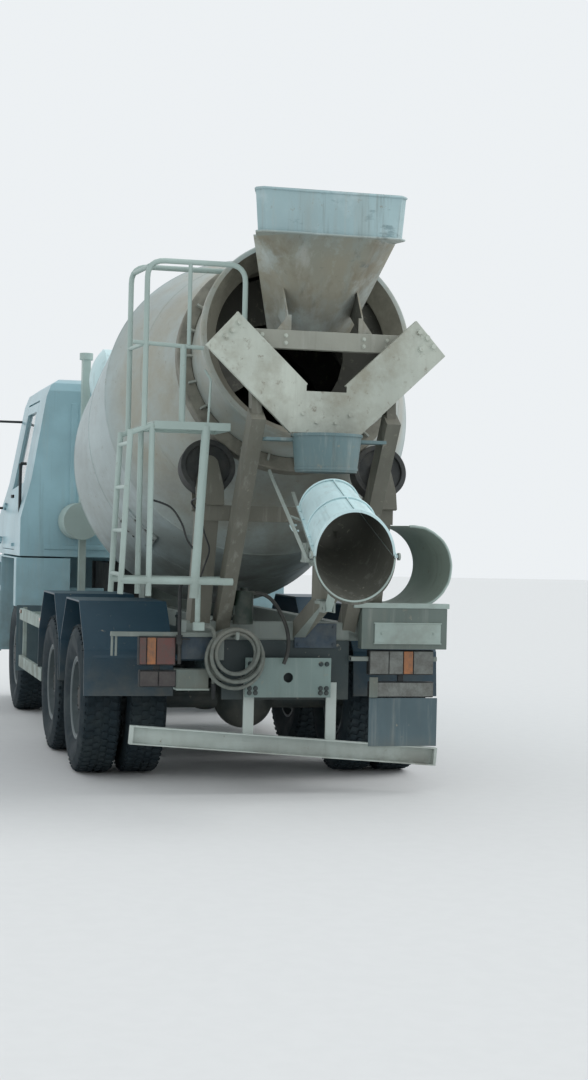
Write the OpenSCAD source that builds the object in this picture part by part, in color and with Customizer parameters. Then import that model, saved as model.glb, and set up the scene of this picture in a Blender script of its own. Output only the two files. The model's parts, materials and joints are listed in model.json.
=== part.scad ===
// Concrete mixer truck with three axles, cab over the engine and a rear discharge chute.
// Stations run forward from the rear axle. The whole is then centred on its length.

/* [Running gear] */
// Front axle to first rear axle
wheelbase = 3225; // [3000:25:3800]
// Distance between the two rear axles
bogie_gap = 1350; // [1300:10:1500]
// Front axle to the bumper's front face
front_overhang = 1425; // [1350:5:1500]
// Outer diameter of a tyre
tyre_d = 1040; // [980:5:1080]
// Width of one tyre
tyre_w = 280; // [240:5:300]
// Diameter of the rim where the tyre sits
rim_d = 572; // [500:2:600]
// Side of the truck's centre to a front wheel's centre
front_track_y = 1030; // [1000:5:1060]
// Side of the truck's centre to the outer rear tyre's centre
outer_tyre_y = 1100; // [1080:5:1110]
// Distance between the two tyres of a twin wheel
twin_pitch = 320; // [310:5:340]
// Side of the truck's centre to the kingpin
kingpin_y = 850; // [830:5:870]

/* [Frame] */
// Width over the two frame rails
frame_w = 860; // [760:10:900]
// Height of a frame rail
rail_h = 270; // [220:5:300]
// Width of a rail's flange
rail_flange = 80; // [60:5:100]
// Thickness of a rail
rail_t = 9; // [6:1:12]
// Top of the frame rails above the ground
frame_top = 1010; // [980:5:1040]
// Frame's end behind the rear axle
frame_tail = 1220; // [1100:10:1300]

/* [Body] */
// Width over the mudguards and the cab's wings
body_w = 2500; // [2440:10:2550]
// Mudguard's reach ahead of and behind its wheel's centre
guard_reach = 650; // [610:5:665]
// Mudguard's top above its wheel's centre
guard_rise = 700; // [640:5:730]
// Thickness of mudguards and wings
guard_t = 12; // [8:1:20]

/* [Cab] */
// Front axle to the cab's rear wall
cab_rear = 775; // [700:5:850]
// Front axle to the front panel
cab_front = 1225; // [1150:5:1250]
// Underside of the cab floor
cab_floor = 1455; // [1440:5:1480]
// Top of the roof
cab_top = 3090; // [3000:10:3200]
// Half width of the cab at the sills
cab_half = 1220; // [1150:5:1230]
// Half width of the cab just under the roof
roof_half = 1010; // [940:5:1080]
// Thickness of the cab's walls and doors
wall_t = 45; // [35:1:60]
// Gap round each door
door_gap = 6; // [5:1:9]
// Rear edge of a door behind the front axle
door_rear = 275; // [250:5:320]
// Front edge of a door ahead of the front axle
door_front = 795; // [760:5:820]

/* [Drum] */
// Mouth of the drum behind the rear axle
mouth_back = 1580; // [1500:10:1650]
// Height of the mouth's centre
mouth_z = 2965; // [2900:5:3000]
// Slope of the drum's axis
drum_tilt = 14.8; // [13:0.1:16]
// Radius of the mouth's rim
rim_r = 690; // [660:5:700]
// Clear radius of the mouth
mouth_r = 570; // [540:5:580]
// Length of the neck
neck_l = 560; // [520:5:600]
// Length of the rear cone
rear_cone_l = 800; // [700:10:900]
// Length of the cylindrical part
belly_l = 1540; // [1400:10:1700]
// Length of the front cone
front_cone_l = 1200; // [1100:10:1300]
// Radius of the cylindrical part
belly_r = 1095; // [1050:5:1100]
// Radius of the front plate
front_plate_r = 740; // [650:5:780]
// Thickness of the drum's shell
shell_t = 10; // [8:1:14]
// Running ring's place along the axis
ring_at = 480; // [460:5:500]
// Radius of the running ring
ring_r = 760; // [750:5:770]
// Width of the running ring
ring_w = 95; // [80:5:110]
// Radius of a support roller
roller_r = 180; // [160:5:190]
// Angle of a support roller from straight below
roller_angle = 38; // [35:1:42]
// Height of the mixing blades
blade_h = 300; // [200:10:320]
// Length along the axis for one turn of a blade
blade_pitch = 1250; // [1100:10:1500]

/* [Hopper] */
// Half width of the hopper's collar at its top
collar_half = 480; // [450:5:510]
// Height of the collar
collar_h = 270; // [200:5:320]
// Top of the hopper above the ground
hopper_top = 3815; // [3780:5:3850]
// Thickness of the hopper's plates
hopper_t = 8; // [6:1:10]

/* [Chute] */
// Slewing axis behind the rear axle
slew_back = 2110; // [2080:5:2150]
// Height of the tilting pin
tilt_z = 1620; // [1600:5:1640]
// Slope of the chute at rest
chute_slope = 25; // [22:0.5:28]
// Distance from slewing axis to the chute's end
chute_reach = 680; // [660:5:700]
// Radius of the chute's upper end
chute_r0 = 178; // [165:1:185]
// Radius of the chute's lower end
chute_r1 = 238; // [225:1:245]
// Thickness of the chute's sheet
chute_t = 6; // [4:1:8]

/* [Fittings] */
// Droop of the bent underrun beam, from its left end to its right end
beam_droop = 156; // [0:4:200]
// Width of the platform
platform_w = 480; // [420:10:520]
// Height of the platform
platform_z = 2360; // [2320:5:2400]
// Diameter of handrail tubes
rail_d = 36; // [28:1:42]
// Diameter of the wash-down hose
hose_d = 26; // [24:1:28]

/* [Hidden] */
$fn = 48;
slip = 0.05;
seat = 0.3;

// Stations of the main points, forward from the rear axle
front_axle_s = bogie_gap + wheelbase;
front_s = front_axle_s + front_overhang;
hub_z = tyre_d / 2;
frame_bottom = frame_top - rail_h;
frame_half = frame_w / 2;
guard_half = body_w / 2;

// Chute: end of its axis, and the tail of the whole truck
chute_tilt_gap = 6;
chute_end_z = tilt_z + 292 - chute_reach * tan(chute_slope);
rim_flange = 16;
tail_s = -(slew_back + chute_reach + 22);
mid_s = (front_s + tail_s) / 2;

module place() { translate([-mid_s, 0, 0]) children(); }
module both() { children(); mirror([0, 1, 0]) children(); }
// A profile drawn in X and Z, spread evenly to both sides
module across(w) { rotate([90, 0, 0]) linear_extrude(w, center = true) children(); }
// A profile drawn in Y and Z, carried forward
module along(l) { rotate([90, 0, 90]) linear_extrude(l) children(); }
// A box from its lowest corner to its highest
module block(a, b) { translate(a) cube(b - a); }
// A round bar or tube between two points
module bar(a, b, d, wall = 0) {
    v = b - a;
    l = norm(v);
    translate(a) rotate([0, acos(v.z / l), atan2(v.y, v.x)]) difference() {
        cylinder(h = l, d = d);
        if (wall > 0) translate([0, 0, -1]) cylinder(h = l + 2, d = d - 2 * wall);
    }
}
// A box section between two points in a plane of constant Y
module box_bar(a, b, w, h) {
    v = b - a;
    l = norm(v);
    translate(a) rotate([0, -atan2(v.z, v.x), 0]) translate([0, -w / 2, -h / 2]) cube([l, w, h]);
}

// Chassis frame: two channel rails with their end plate, and the cross members between them
rail_front = front_s - 400;
module channel_rail() {
    t = rail_t;
    translate([-frame_tail, 0, 0]) along(rail_front + frame_tail) polygon([
        [frame_half, frame_bottom], [frame_half, frame_top], [frame_half - rail_flange, frame_top],
        [frame_half - rail_flange, frame_top - t], [frame_half - t, frame_top - t],
        [frame_half - t, frame_bottom + t], [frame_half - rail_flange, frame_bottom + t],
        [frame_half - rail_flange, frame_bottom]]);
}
member_at = [-frame_tail + 60, -520, 675, 1900, 2900, 3450, rail_front - 60];
end_plate_t = 12;
tail_plate_half = 290;
module frame() {
    color("dimgray") place() {
        both() channel_rail();
        block([-frame_tail - end_plate_t, -frame_half, frame_bottom - 120],
              [-frame_tail + 1, frame_half, frame_top]);
        // Pivots of the tilting cab
        both() {
            block([tilt_pivot.x - ear_r, ear_y[1] + 6, frame_top - 1],
                  [tilt_pivot.x + ear_r, frame_half - 4, tilt_pivot.z + ear_r]);
            translate([tilt_pivot.x, ear_y[0] - 6, tilt_pivot.z]) rotate([-90, 0, 0])
                cylinder(h = 40, r = tilt_r);
        }
    }
}
module cross_members() {
    color("dimgray") place() for (s = member_at)
        block([s - 40, -frame_half + rail_t + seat, frame_bottom + 60],
              [s + 40, frame_half - rail_t - seat, frame_top - 60]);
}
// Tail plate with its towing bore, on two brackets
module tail_plate() {
    color("dimgray") place() {
        for (y = [-190, 190])
            block([-frame_tail - 72, y - 8, frame_bottom - 90],
                  [-frame_tail - end_plate_t - seat, y + 8, frame_bottom + 70]);
        difference() {
            block([-frame_tail - 84, -tail_plate_half, frame_bottom - 100],
                  [-frame_tail - 70, tail_plate_half, frame_bottom + 160]);
            translate([-frame_tail - 100, 0, frame_bottom + 30]) rotate([0, 90, 0]) cylinder(h = 50, r = 32);
        }
    }
}

// Engine and gearbox as plain blocks between the rails
engine_half = 330;
module engine() {
    color("slategray") place() {
        block([front_axle_s - 250, -engine_half, frame_bottom - 60], [front_axle_s + 560, engine_half, 1400]);
        block([front_axle_s - 1050, -210, frame_bottom - 20], [front_axle_s - 249, 210, frame_top - 40]);
        block([front_axle_s + 600, -engine_half - 20, frame_bottom - 10],
              [front_axle_s + 660, engine_half + 20, 1400]);
        block([front_axle_s + 559, -60, 900], [front_axle_s + 601, 60, 1100]);
        both() block([front_axle_s + 100, engine_half - 1, frame_top - 150],
                     [front_axle_s + 240, frame_half - rail_t - seat, frame_top - 60]);
    }
}

// Front axle: forged beam, kingpin eyes and leaf springs
pin_r = 22;
eye_r = 46;
eye_h = 150;
spring_y = 390;
spring_w = 76;
beam_drop = 60;
module leaf_pack(s, half, top, leaves, leaf_t = 16) {
    for (i = [0 : leaves - 1])
        block([s - half * (1 - 0.13 * i), spring_y - spring_w / 2, top - leaf_t * (i + 1)],
              [s + half * (1 - 0.13 * i), spring_y + spring_w / 2, top - leaf_t * i + 0.5]);
}
module front_axle() {
    color("dimgray") place() translate([front_axle_s, 0, 0]) {
        difference() {
            union() {
                across(2 * spring_y + 160) polygon([
                    [-52, hub_z - beam_drop - 62], [52, hub_z - beam_drop - 62], [52, hub_z - beam_drop - 42],
                    [18, hub_z - beam_drop - 34], [18, hub_z - beam_drop + 34], [52, hub_z - beam_drop + 42],
                    [52, hub_z - beam_drop + 62], [-52, hub_z - beam_drop + 62],
                    [-52, hub_z - beam_drop + 42], [-18, hub_z - beam_drop + 34],
                    [-18, hub_z - beam_drop - 34], [-52, hub_z - beam_drop - 42]]);
                both() {
                    bar([0, spring_y + 70, hub_z - beam_drop], [0, kingpin_y, hub_z], 96);
                    translate([0, kingpin_y, hub_z - eye_h / 2]) cylinder(h = eye_h, r = eye_r);
                }
            }
            both() translate([0, kingpin_y, hub_z - eye_h]) cylinder(h = 2 * eye_h, r = pin_r + slip);
        }
        both() {
            leaf_pack(0, 720, hub_z - beam_drop + 62 + 76, 5);
            block([-70, spring_y - 60, hub_z - beam_drop + 60],
                  [70, spring_y + 60, hub_z - beam_drop + 146]);
            for (x = [-700, 700]) {
                block([x - 22, spring_y - 30, hub_z - beam_drop + 120],
                      [x + 22, spring_y + 30, frame_bottom - seat]);
                translate([x, spring_y + 42, hub_z - beam_drop + 130]) rotate([90, 0, 0])
                    cylinder(h = 84, r = 30);
            }
        }
    }
}

// Steering knuckle: fork on the kingpin, spindle for the wheel and the steering arm
spindle_r = 42;
fork_gap = 1;
fork_t = 34;
fork_h = eye_h / 2 + fork_t + fork_gap;
module knuckle() {
    translate([front_axle_s, kingpin_y, hub_z]) {
        translate([0, 0, -fork_h]) cylinder(h = 2 * fork_h, r = pin_r);
        for (z = [-fork_h, fork_h - fork_t])
            translate([0, 0, z]) {
                cylinder(h = fork_t, r = eye_r + 4);
                translate([-45, 0, 0]) cube([90, eye_r + 46, fork_t]);
            }
        block([-45, eye_r + 12, -fork_h], [45, eye_r + 46, fork_h]);
        translate([0, eye_r + 40, 0]) rotate([-90, 0, 0]) cylinder(h = 130, r = spindle_r);
        translate([-260, -30, -fork_h]) cube([240, 46, 30]);
    }
}
module knuckle_left() { color("gray") place() knuckle(); }
module knuckle_right() { color("gray") place() mirror([0, 1, 0]) knuckle(); }

// Wheels: one turned profile for a tyre and one for its disc
function tyre_section(d, w) = [
    [rim_d / 2 - 14, -0.36 * w], [rim_d / 2 + 22, -0.40 * w], [(rim_d + d) / 4, -0.5 * w],
    [d / 2 - 62, -0.48 * w], [d / 2 - 16, -0.40 * w], [d / 2, -0.31 * w],
    [d / 2, 0.31 * w], [d / 2 - 16, 0.40 * w], [d / 2 - 62, 0.48 * w],
    [(rim_d + d) / 4, 0.5 * w], [rim_d / 2 + 22, 0.40 * w], [rim_d / 2 - 14, 0.36 * w]];
// The disc lies toward +Z by the given offset, and the hub reaches from z0 to z1
module disc_wheel(offset, z0, z1, bore) {
    w = tyre_w;
    rotate_extrude() union() {
        polygon(tyre_section(tyre_d, w));
        polygon([[rim_d / 2 - 30, -0.37 * w], [rim_d / 2 - 10, -0.37 * w], [rim_d / 2 - 10, 0.37 * w],
                 [rim_d / 2 - 30, 0.37 * w]]);
    }
    translate([0, 0, offset]) difference() {
        rotate_extrude() polygon([[bore, -8], [180, -8], [rim_d / 2 - 20, -34], [rim_d / 2 - 20, -16],
                                  [184, 8], [bore, 8]]);
        for (i = [0 : 9]) rotate([0, 0, 36 * i]) translate([205, 0, -60]) cylinder(h = 120, r = 24, $fn = 24);
    }
    translate([0, 0, z0]) difference() {
        cylinder(h = z1 - z0, r = 118);
        translate([0, 0, -1]) cylinder(h = z1 - z0 + 2, r = bore);
    }
}
module front_wheel() {
    translate([front_axle_s, front_track_y, hub_z]) rotate([-90, 0, 0]) difference() {
        union() {
            disc_wheel(60, -70, 110, spindle_r + slip);
            translate([0, 0, 95]) cylinder(h = 28, r = 100);
        }
        translate([0, 0, -80]) cylinder(h = 170, r = spindle_r + slip);
    }
}
axle_r = 55;
module twin_wheel(s) {
    translate([s, outer_tyre_y, hub_z]) rotate([-90, 0, 0]) {
        disc_wheel(-60, -280, 40, axle_r + slip);
        translate([0, 0, -twin_pitch]) mirror([0, 0, 1]) disc_wheel(-60, -64, -56, 110);
        rotate_extrude() polygon([[112, -twin_pitch + 40], [205, -twin_pitch + 40], [205, -twin_pitch - 60],
                                  [225, -twin_pitch - 60], [225, -twin_pitch + 60], [112, -twin_pitch + 60]]);
        translate([0, 0, 39]) cylinder(h = 46, r = 96);
    }
}
module wheel_front_left() { color("black") place() front_wheel(); }
module wheel_front_right() { color("black") place() mirror([0, 1, 0]) front_wheel(); }
module wheel_mid_left() { color("black") place() twin_wheel(bogie_gap); }
module wheel_mid_right() { color("black") place() mirror([0, 1, 0]) twin_wheel(bogie_gap); }
module wheel_rear_left() { color("black") place() twin_wheel(0); }
module wheel_rear_right() { color("black") place() mirror([0, 1, 0]) twin_wheel(0); }

// Rear axles: housings with differentials, spindles, bogie springs and propeller shafts
module axle_housing(s) {
    translate([s, 0, hub_z]) {
        rotate([90, 0, 0]) cylinder(h = 2 * 600, r = 70, center = true);
        both() rotate([-90, 0, 0]) cylinder(h = outer_tyre_y + 30, r = axle_r);
        sphere(r = 215);
        rotate([0, 90, 0]) cylinder(h = 300, r = 75);
    }
}
module rear_axles() {
    color("dimgray") place() {
        axle_housing(0);
        axle_housing(bogie_gap);
        bar([250, 0, hub_z], [bogie_gap - 200, 0, hub_z + 40], 90);
        bar([bogie_gap + 260, 0, hub_z], [front_axle_s - 1055, 0, frame_bottom - 5], 90);
        both() {
            for (i = [0 : 4])
                block([-40 + 110 * i, spring_y - 45, hub_z + 75 + 20 * i],
                      [bogie_gap + 40 - 110 * i, spring_y + 45, hub_z + 75 + 20 * (i + 1) + 0.5]);
            block([bogie_gap / 2 - 90, spring_y - 60, hub_z - 90],
                  [bogie_gap / 2 + 90, spring_y + 35, frame_bottom - seat]);
            for (s = [0, bogie_gap])
                block([s - 60, spring_y - 50, hub_z], [s + 60, spring_y + 50, hub_z + 80]);
        }
        rotate([90, 0, 0]) translate([bogie_gap / 2, hub_z - 60, 0])
            cylinder(h = 2 * spring_y, r = 50, center = true);
    }
}

// Front bumper with its lamp recesses, steps and towing eye
bumper_z = [480, 890];
bumper_l = 150;
lamp_y = [760, 1120];
tow_r = 20;
module bumper() {
    color("lightsteelblue") place() {
        difference() {
            intersection() {
                block([front_s - 420, -guard_half + 10, bumper_z[0]],
                      [front_s, guard_half - 10, bumper_z[1]]);
                translate([front_s - 900, 0, 0]) linear_extrude(1000) hull() {
                    translate([0, -guard_half + 10]) square([900 - 160, body_w - 20]);
                    translate([700, -guard_half + 300]) square([200, body_w - 600]);
                }
            }
            block([front_s - 430, -guard_half + 60, bumper_z[0] - 1],
                  [front_s - bumper_l, guard_half - 60, bumper_z[1] + 1]);
            both() block([front_s - 110, lamp_y[0], bumper_z[0] + 110],
                         [front_s + 10, lamp_y[1], bumper_z[1] - 90]);
        }
        for (y = [-370, 370])
            block([rail_front - 200, y - 40, frame_bottom + rail_t + seat],
                  [front_s - bumper_l + 1, y + 40, frame_bottom + rail_t + 30]);
        difference() {
            block([front_s - bumper_l - 100, -50, 520], [front_s - bumper_l + 1, 50, 580]);
            translate([front_s - bumper_l - 50, 0, 510]) cylinder(h = 80, r = tow_r);
        }
    }
}

// Lamps: headlamps in the bumper, and the tail lamps on their brackets, the right ones lower
tail_lamp_s = -1270;
// A tail lamp with the reflector block under it: ends across, then heights of both
module tail_lamp(y0, y1, z) {
    s = tail_lamp_s;
    block([s - 40, y0, z[2]], [s + 30, y1, z[3]]);
    block([s - 34, y0 - 6, z[0]], [s + 24, y1 - 8, z[1]]);
    block([s - 8, (y0 + y1) / 2 - 20, z[1] - 1], [s + 8, (y0 + y1) / 2 + 20, z[2] + 1]);
}
module lamps() {
    color("orange") place() {
        both() block([front_s - 110 + seat, lamp_y[0] + 10, bumper_z[0] + 120],
                     [front_s - 24, lamp_y[1] - 10, bumper_z[1] - 100]);
        tail_lamp(752, 995, [705, 815, 845, 1033]);
        block([tail_lamp_s - 16, frame_half + seat, 1030], [tail_lamp_s + 16, 1175, 1060]);
        block([tail_lamp_s - 16, frame_half + seat, 880], [tail_lamp_s + 16, frame_half + 40, 1060]);
        tail_lamp(-1000, -550, [640, 745, 790, 955]);
        block([tail_lamp_s - 16, -1030, 880], [tail_lamp_s + 16, -frame_half - seat, 910]);
        both() block([tail_lamp_s - 15, frame_half + seat, 882], [-frame_tail + 60, frame_half + 38, 908]);
    }
}

// Wings round the front wheels, with steps ahead of the wheel
wing_top = cab_floor - 15;
wing_in = 760;
module wings() {
    color("lightsteelblue") place() both() {
        difference() {
            union() {
                block([front_axle_s - cab_rear, wing_in, 1000], [front_axle_s - 590, guard_half, wing_top]);
                block([front_axle_s - cab_rear, wing_in, wing_top - guard_t],
                      [front_axle_s + 830, guard_half, wing_top]);
                block([front_axle_s + 590, wing_in + 80, 520], [front_axle_s + 830, guard_half, wing_top]);
            }
            block([front_axle_s - cab_rear + guard_t, wing_in + guard_t, 990],
                  [front_axle_s - 600 + guard_t, guard_half - guard_t, wing_top - guard_t]);
            for (z = [560, 860, 1140])
                block([front_axle_s + 590 + guard_t, wing_in + 200, z],
                      [front_axle_s + 830 - guard_t, guard_half + 1, z + 230]);
        }
        block([front_axle_s - 660, frame_half + seat, 1120], [front_axle_s - 620, wing_in + 1, 1170]);
        block([front_axle_s - 660, frame_half + seat, 900], [front_axle_s - 620, frame_half + 40, 1170]);
        block([front_axle_s + 660, frame_half + seat, 900], [front_axle_s + 700, wing_in + 81, 950]);
    }
}

// Fuel tank on the right, air tanks and battery box on the left
module side_tanks() {
    color("silver") place() {
        translate([2600, -760, 700]) rotate([0, 90, 0]) difference() {
            translate([0, 0, -550]) linear_extrude(1100) offset(80) square([420, 440], center = true);
        }
        for (s = [2250, 2950]) block([s - 30, -560, 700], [s + 30, -frame_half - seat, 800]);
        block([2950, 560, 560], [3350, 1080, 900]);
        block([3120, frame_half + seat, 780], [3180, 561, 860]);
        for (z = [640, 850]) {
            bar([2150, 620, z], [2800, 620, z], 180);
            for (s = [2300, 2650]) {
                block([s - 15, frame_half + seat, 600], [s + 15, frame_half + 30, 900]);
                block([s - 15, frame_half + 20, z - 20], [s + 15, 560, z + 20]);
            }
        }
    }
}

// Side guards between the axles
guard_rail_z = [520, 940];
module side_guards() {
    color("gainsboro") place() both() {
        for (z = guard_rail_z) block([2004, guard_half - 60, z - 50], [3680, guard_half - 30, z + 50]);
        for (s = [2024, 3640]) {
            block([s - 20, guard_half - 90, guard_rail_z[0] - 70],
                  [s + 20, guard_half - 59, guard_rail_z[1] + 60]);
            block([s - 20, frame_half + seat, guard_rail_z[1] - 20],
                  [s + 20, guard_half - 60, guard_rail_z[1] + 20]);
        }
    }
}

// Intake stack with its cap and the air cleaner behind the cab
stack_s = 3560;
stack_y = 690;
module intake_stack() {
    color("darkslategray") place() {
        block([stack_s - 50, stack_y - 35, 1700], [stack_s + 50, stack_y + 35, 3230]);
        translate([stack_s, stack_y, 3228]) cylinder(h = 60, r = 60);
        translate([stack_s - 200, stack_y + 30, 1780]) rotate([0, 90, 0]) cylinder(h = 400, r = 165);
        block([stack_s - 40, stack_y - 30, 1100], [stack_s + 40, stack_y + 30, 1640]);
        block([stack_s - 40, frame_half + seat, 940], [stack_s + 40, stack_y + 30, 1110]);
    }
}

// Mudguards over the four twin wheels
guard_in = 640;
function half_arch(d) = [[-guard_reach + d, hub_z + 70], [-guard_reach + 28 + d, hub_z + 380 - 0.4 * d],
                         [-0.5 * guard_reach + 0.4 * d, hub_z + guard_rise - d]];
function arch(d) = concat(half_arch(d), [for (i = [2 : -1 : 0]) [-half_arch(d)[i].x, half_arch(d)[i].y]]);
module mudguards() {
    color("midnightblue") place() both() {
        for (s = [0, bogie_gap]) translate([s, (guard_in + guard_half) / 2, 0]) difference() {
            across(guard_half - guard_in) polygon(arch(0));
            across(guard_half) polygon([for (p = arch(guard_t)) [p.x, p.y < hub_z + 80 ? hub_z : p.y]]);
        }
        for (s = [0, bogie_gap], k = [-1, 1]) let (x = s + k * (guard_reach - 40))
            bar([x, frame_half + seat, hub_z + 330], [x, guard_half - 60, hub_z + 330], 40);
    }
}

// Underrun beam on two hangers, bent so that its right end hangs lower
underrun_s = -frame_tail + 10;
underrun_half = 1040;
module underrun_beam() {
    slope = atan2(beam_droop, 2 * underrun_half);
    color("lightgray") place() {
        translate([underrun_s - 60, 0, 320]) rotate([slope, 0, 0]) difference() {
            block([-30, -underrun_half, -60], [30, underrun_half, 60]);
            block([-40, -underrun_half + 20, -52], [22, underrun_half - 20, 52]);
        }
        for (y = [-310, 250])
            block([underrun_s - 40, y - 35, 330 + y * tan(slope)],
                  [underrun_s - 22 - seat, y + 35, frame_bottom - 5]);
    }
}

// Drum: places along its sloping axis
drum_dir = [cos(drum_tilt), 0, -sin(drum_tilt)];
drum_up = [sin(drum_tilt), 0, cos(drum_tilt)];
mouth_point = [-mouth_back, 0, mouth_z];
function on_axis(u) = mouth_point + u * drum_dir;
module at_drum(u = 0) { translate(on_axis(u)) rotate([0, 90 + drum_tilt, 0]) children(); }
neck_r = rim_r - 25;
cone_at = neck_l;
belly_at = cone_at + rear_cone_l;
front_at = belly_at + belly_l;
plate_at = front_at + front_cone_l;
// Outer outline of the drum as places along the axis and radii
drum_line = [[0, neck_r], [ring_at + ring_w / 2 + 10, neck_r], [cone_at, ring_r - 20],
             [belly_at, belly_r], [front_at, belly_r], [plate_at, front_plate_r]];
function line_r(u, i = 0) = (u <= drum_line[i + 1][0] || i == len(drum_line) - 2)
    ? drum_line[i][1] + (drum_line[i + 1][1] - drum_line[i][1])
      * (u - drum_line[i][0]) / (drum_line[i + 1][0] - drum_line[i][0])
    : line_r(u, i + 1);
module drum_shell() {
    t = shell_t;
    color("whitesmoke") place() at_drum() {
        rotate_extrude($fn = 96) polygon(concat(
            [for (p = drum_line) [p[1], p[0]]],
            [[0, plate_at], [0, plate_at - 2 * t], [front_plate_r - 2 * t, plate_at - 2 * t]],
            [for (i = [len(drum_line) - 2 : -1 : 0]) [drum_line[i][1] - t, drum_line[i][0]]]));
        rotate_extrude($fn = 96) polygon([[neck_r - 1, 0], [rim_r, 0], [rim_r, 70], [neck_r - 1, 80]]);
        rotate_extrude($fn = 96)
            polygon([[neck_r - t + 1, 0], [mouth_r, 140], [mouth_r, 154], [neck_r - t + 1, 18]]);
        translate([0, 0, plate_at - 1]) cylinder(h = 60, r = 260);
        for (a = [0 : 90 : 270]) rotate([0, 0, a + 45]) translate([belly_r - 4, -150, belly_at + 420])
            cube([16, 300, 340]);
    }
}
module drum_ring() {
    color("dimgray") place() at_drum(ring_at - ring_w / 2) difference() {
        cylinder(h = ring_w, r = ring_r, $fn = 96);
        translate([0, 0, -1]) cylinder(h = ring_w + 2, r = neck_r + seat, $fn = 96);
    }
}
// Two helical blades, opposite each other, whose outer edges follow the shell
blade_steps = 60;
blade_from = 190;
blade_to = plate_at - 100;
blade_step = (blade_to - blade_from) / blade_steps;
function blade_ring(i, turn) = let (
    u = blade_from + blade_step * i,
    a = turn + 360 * u / blade_pitch,
    r1 = min(line_r(u - blade_step), line_r(u), line_r(u + blade_step)) - shell_t - 12,
    r0 = max(r1 - blade_h, 330),
    w = 6)
    [[r0 * cos(a), r0 * sin(a), u + 60], [r1 * cos(a), r1 * sin(a), u],
     [r1 * cos(a), r1 * sin(a), u + w], [r0 * cos(a), r0 * sin(a), u + 60 + w]];
module blade(turn) {
    n = blade_steps;
    points = [for (i = [0 : n]) each blade_ring(i, turn)];
    sides = [for (i = [0 : n - 1]) for (k = [0 : 3]) let (m = (k + 1) % 4)
        each [[4 * i + k, 4 * i + m, 4 * (i + 1) + m], [4 * i + k, 4 * (i + 1) + m, 4 * (i + 1) + k]]];
    polyhedron(points, concat(sides, [[3, 2, 1, 0]], [[4 * n, 4 * n + 1, 4 * n + 2, 4 * n + 3]]));
}
module drum_blades() { color("dimgray") place() at_drum() for (a = [0, 180]) blade(a); }

// Support rollers under the running ring
roller_reach = ring_r + roller_r + seat;
roller_w = 110;
axle_pin_r = 35;
function roller_offset(side) = [side * roller_reach * sin(roller_angle), -roller_reach * cos(roller_angle)];
function roller_point(side) =
    on_axis(ring_at) + [0, roller_offset(side)[0], 0] + roller_offset(side)[1] * drum_up;
module roller(side) {
    translate(roller_point(side)) rotate([0, 90 + drum_tilt, 0]) difference() {
        translate([0, 0, -roller_w / 2]) cylinder(h = roller_w, r = roller_r);
        translate([0, 0, -roller_w]) cylinder(h = 2 * roller_w, r = axle_pin_r + slip);
        for (z = [-roller_w / 2 - 1, roller_w / 2 - 19]) translate([0, 0, z]) difference() {
            cylinder(h = 20, r = roller_r - 35);
            cylinder(h = 20, r = 70);
        }
    }
}
module roller_left() { color("darkslategray") place() roller(1); }
module roller_right() { color("darkslategray") place() roller(-1); }

// Drum drive: gearbox and hydraulic motor on the front pedestal
gear_at = plate_at + 60;
module drum_drive() {
    color("slategray") place() at_drum(gear_at) {
        translate([0, 0, seat]) cylinder(h = 90, r = 230);
        translate([0, 0, 80]) cylinder(h = 260, r = 190);
        translate([0, 0, 330]) cylinder(h = 220, r = 95);
    }
}

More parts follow.
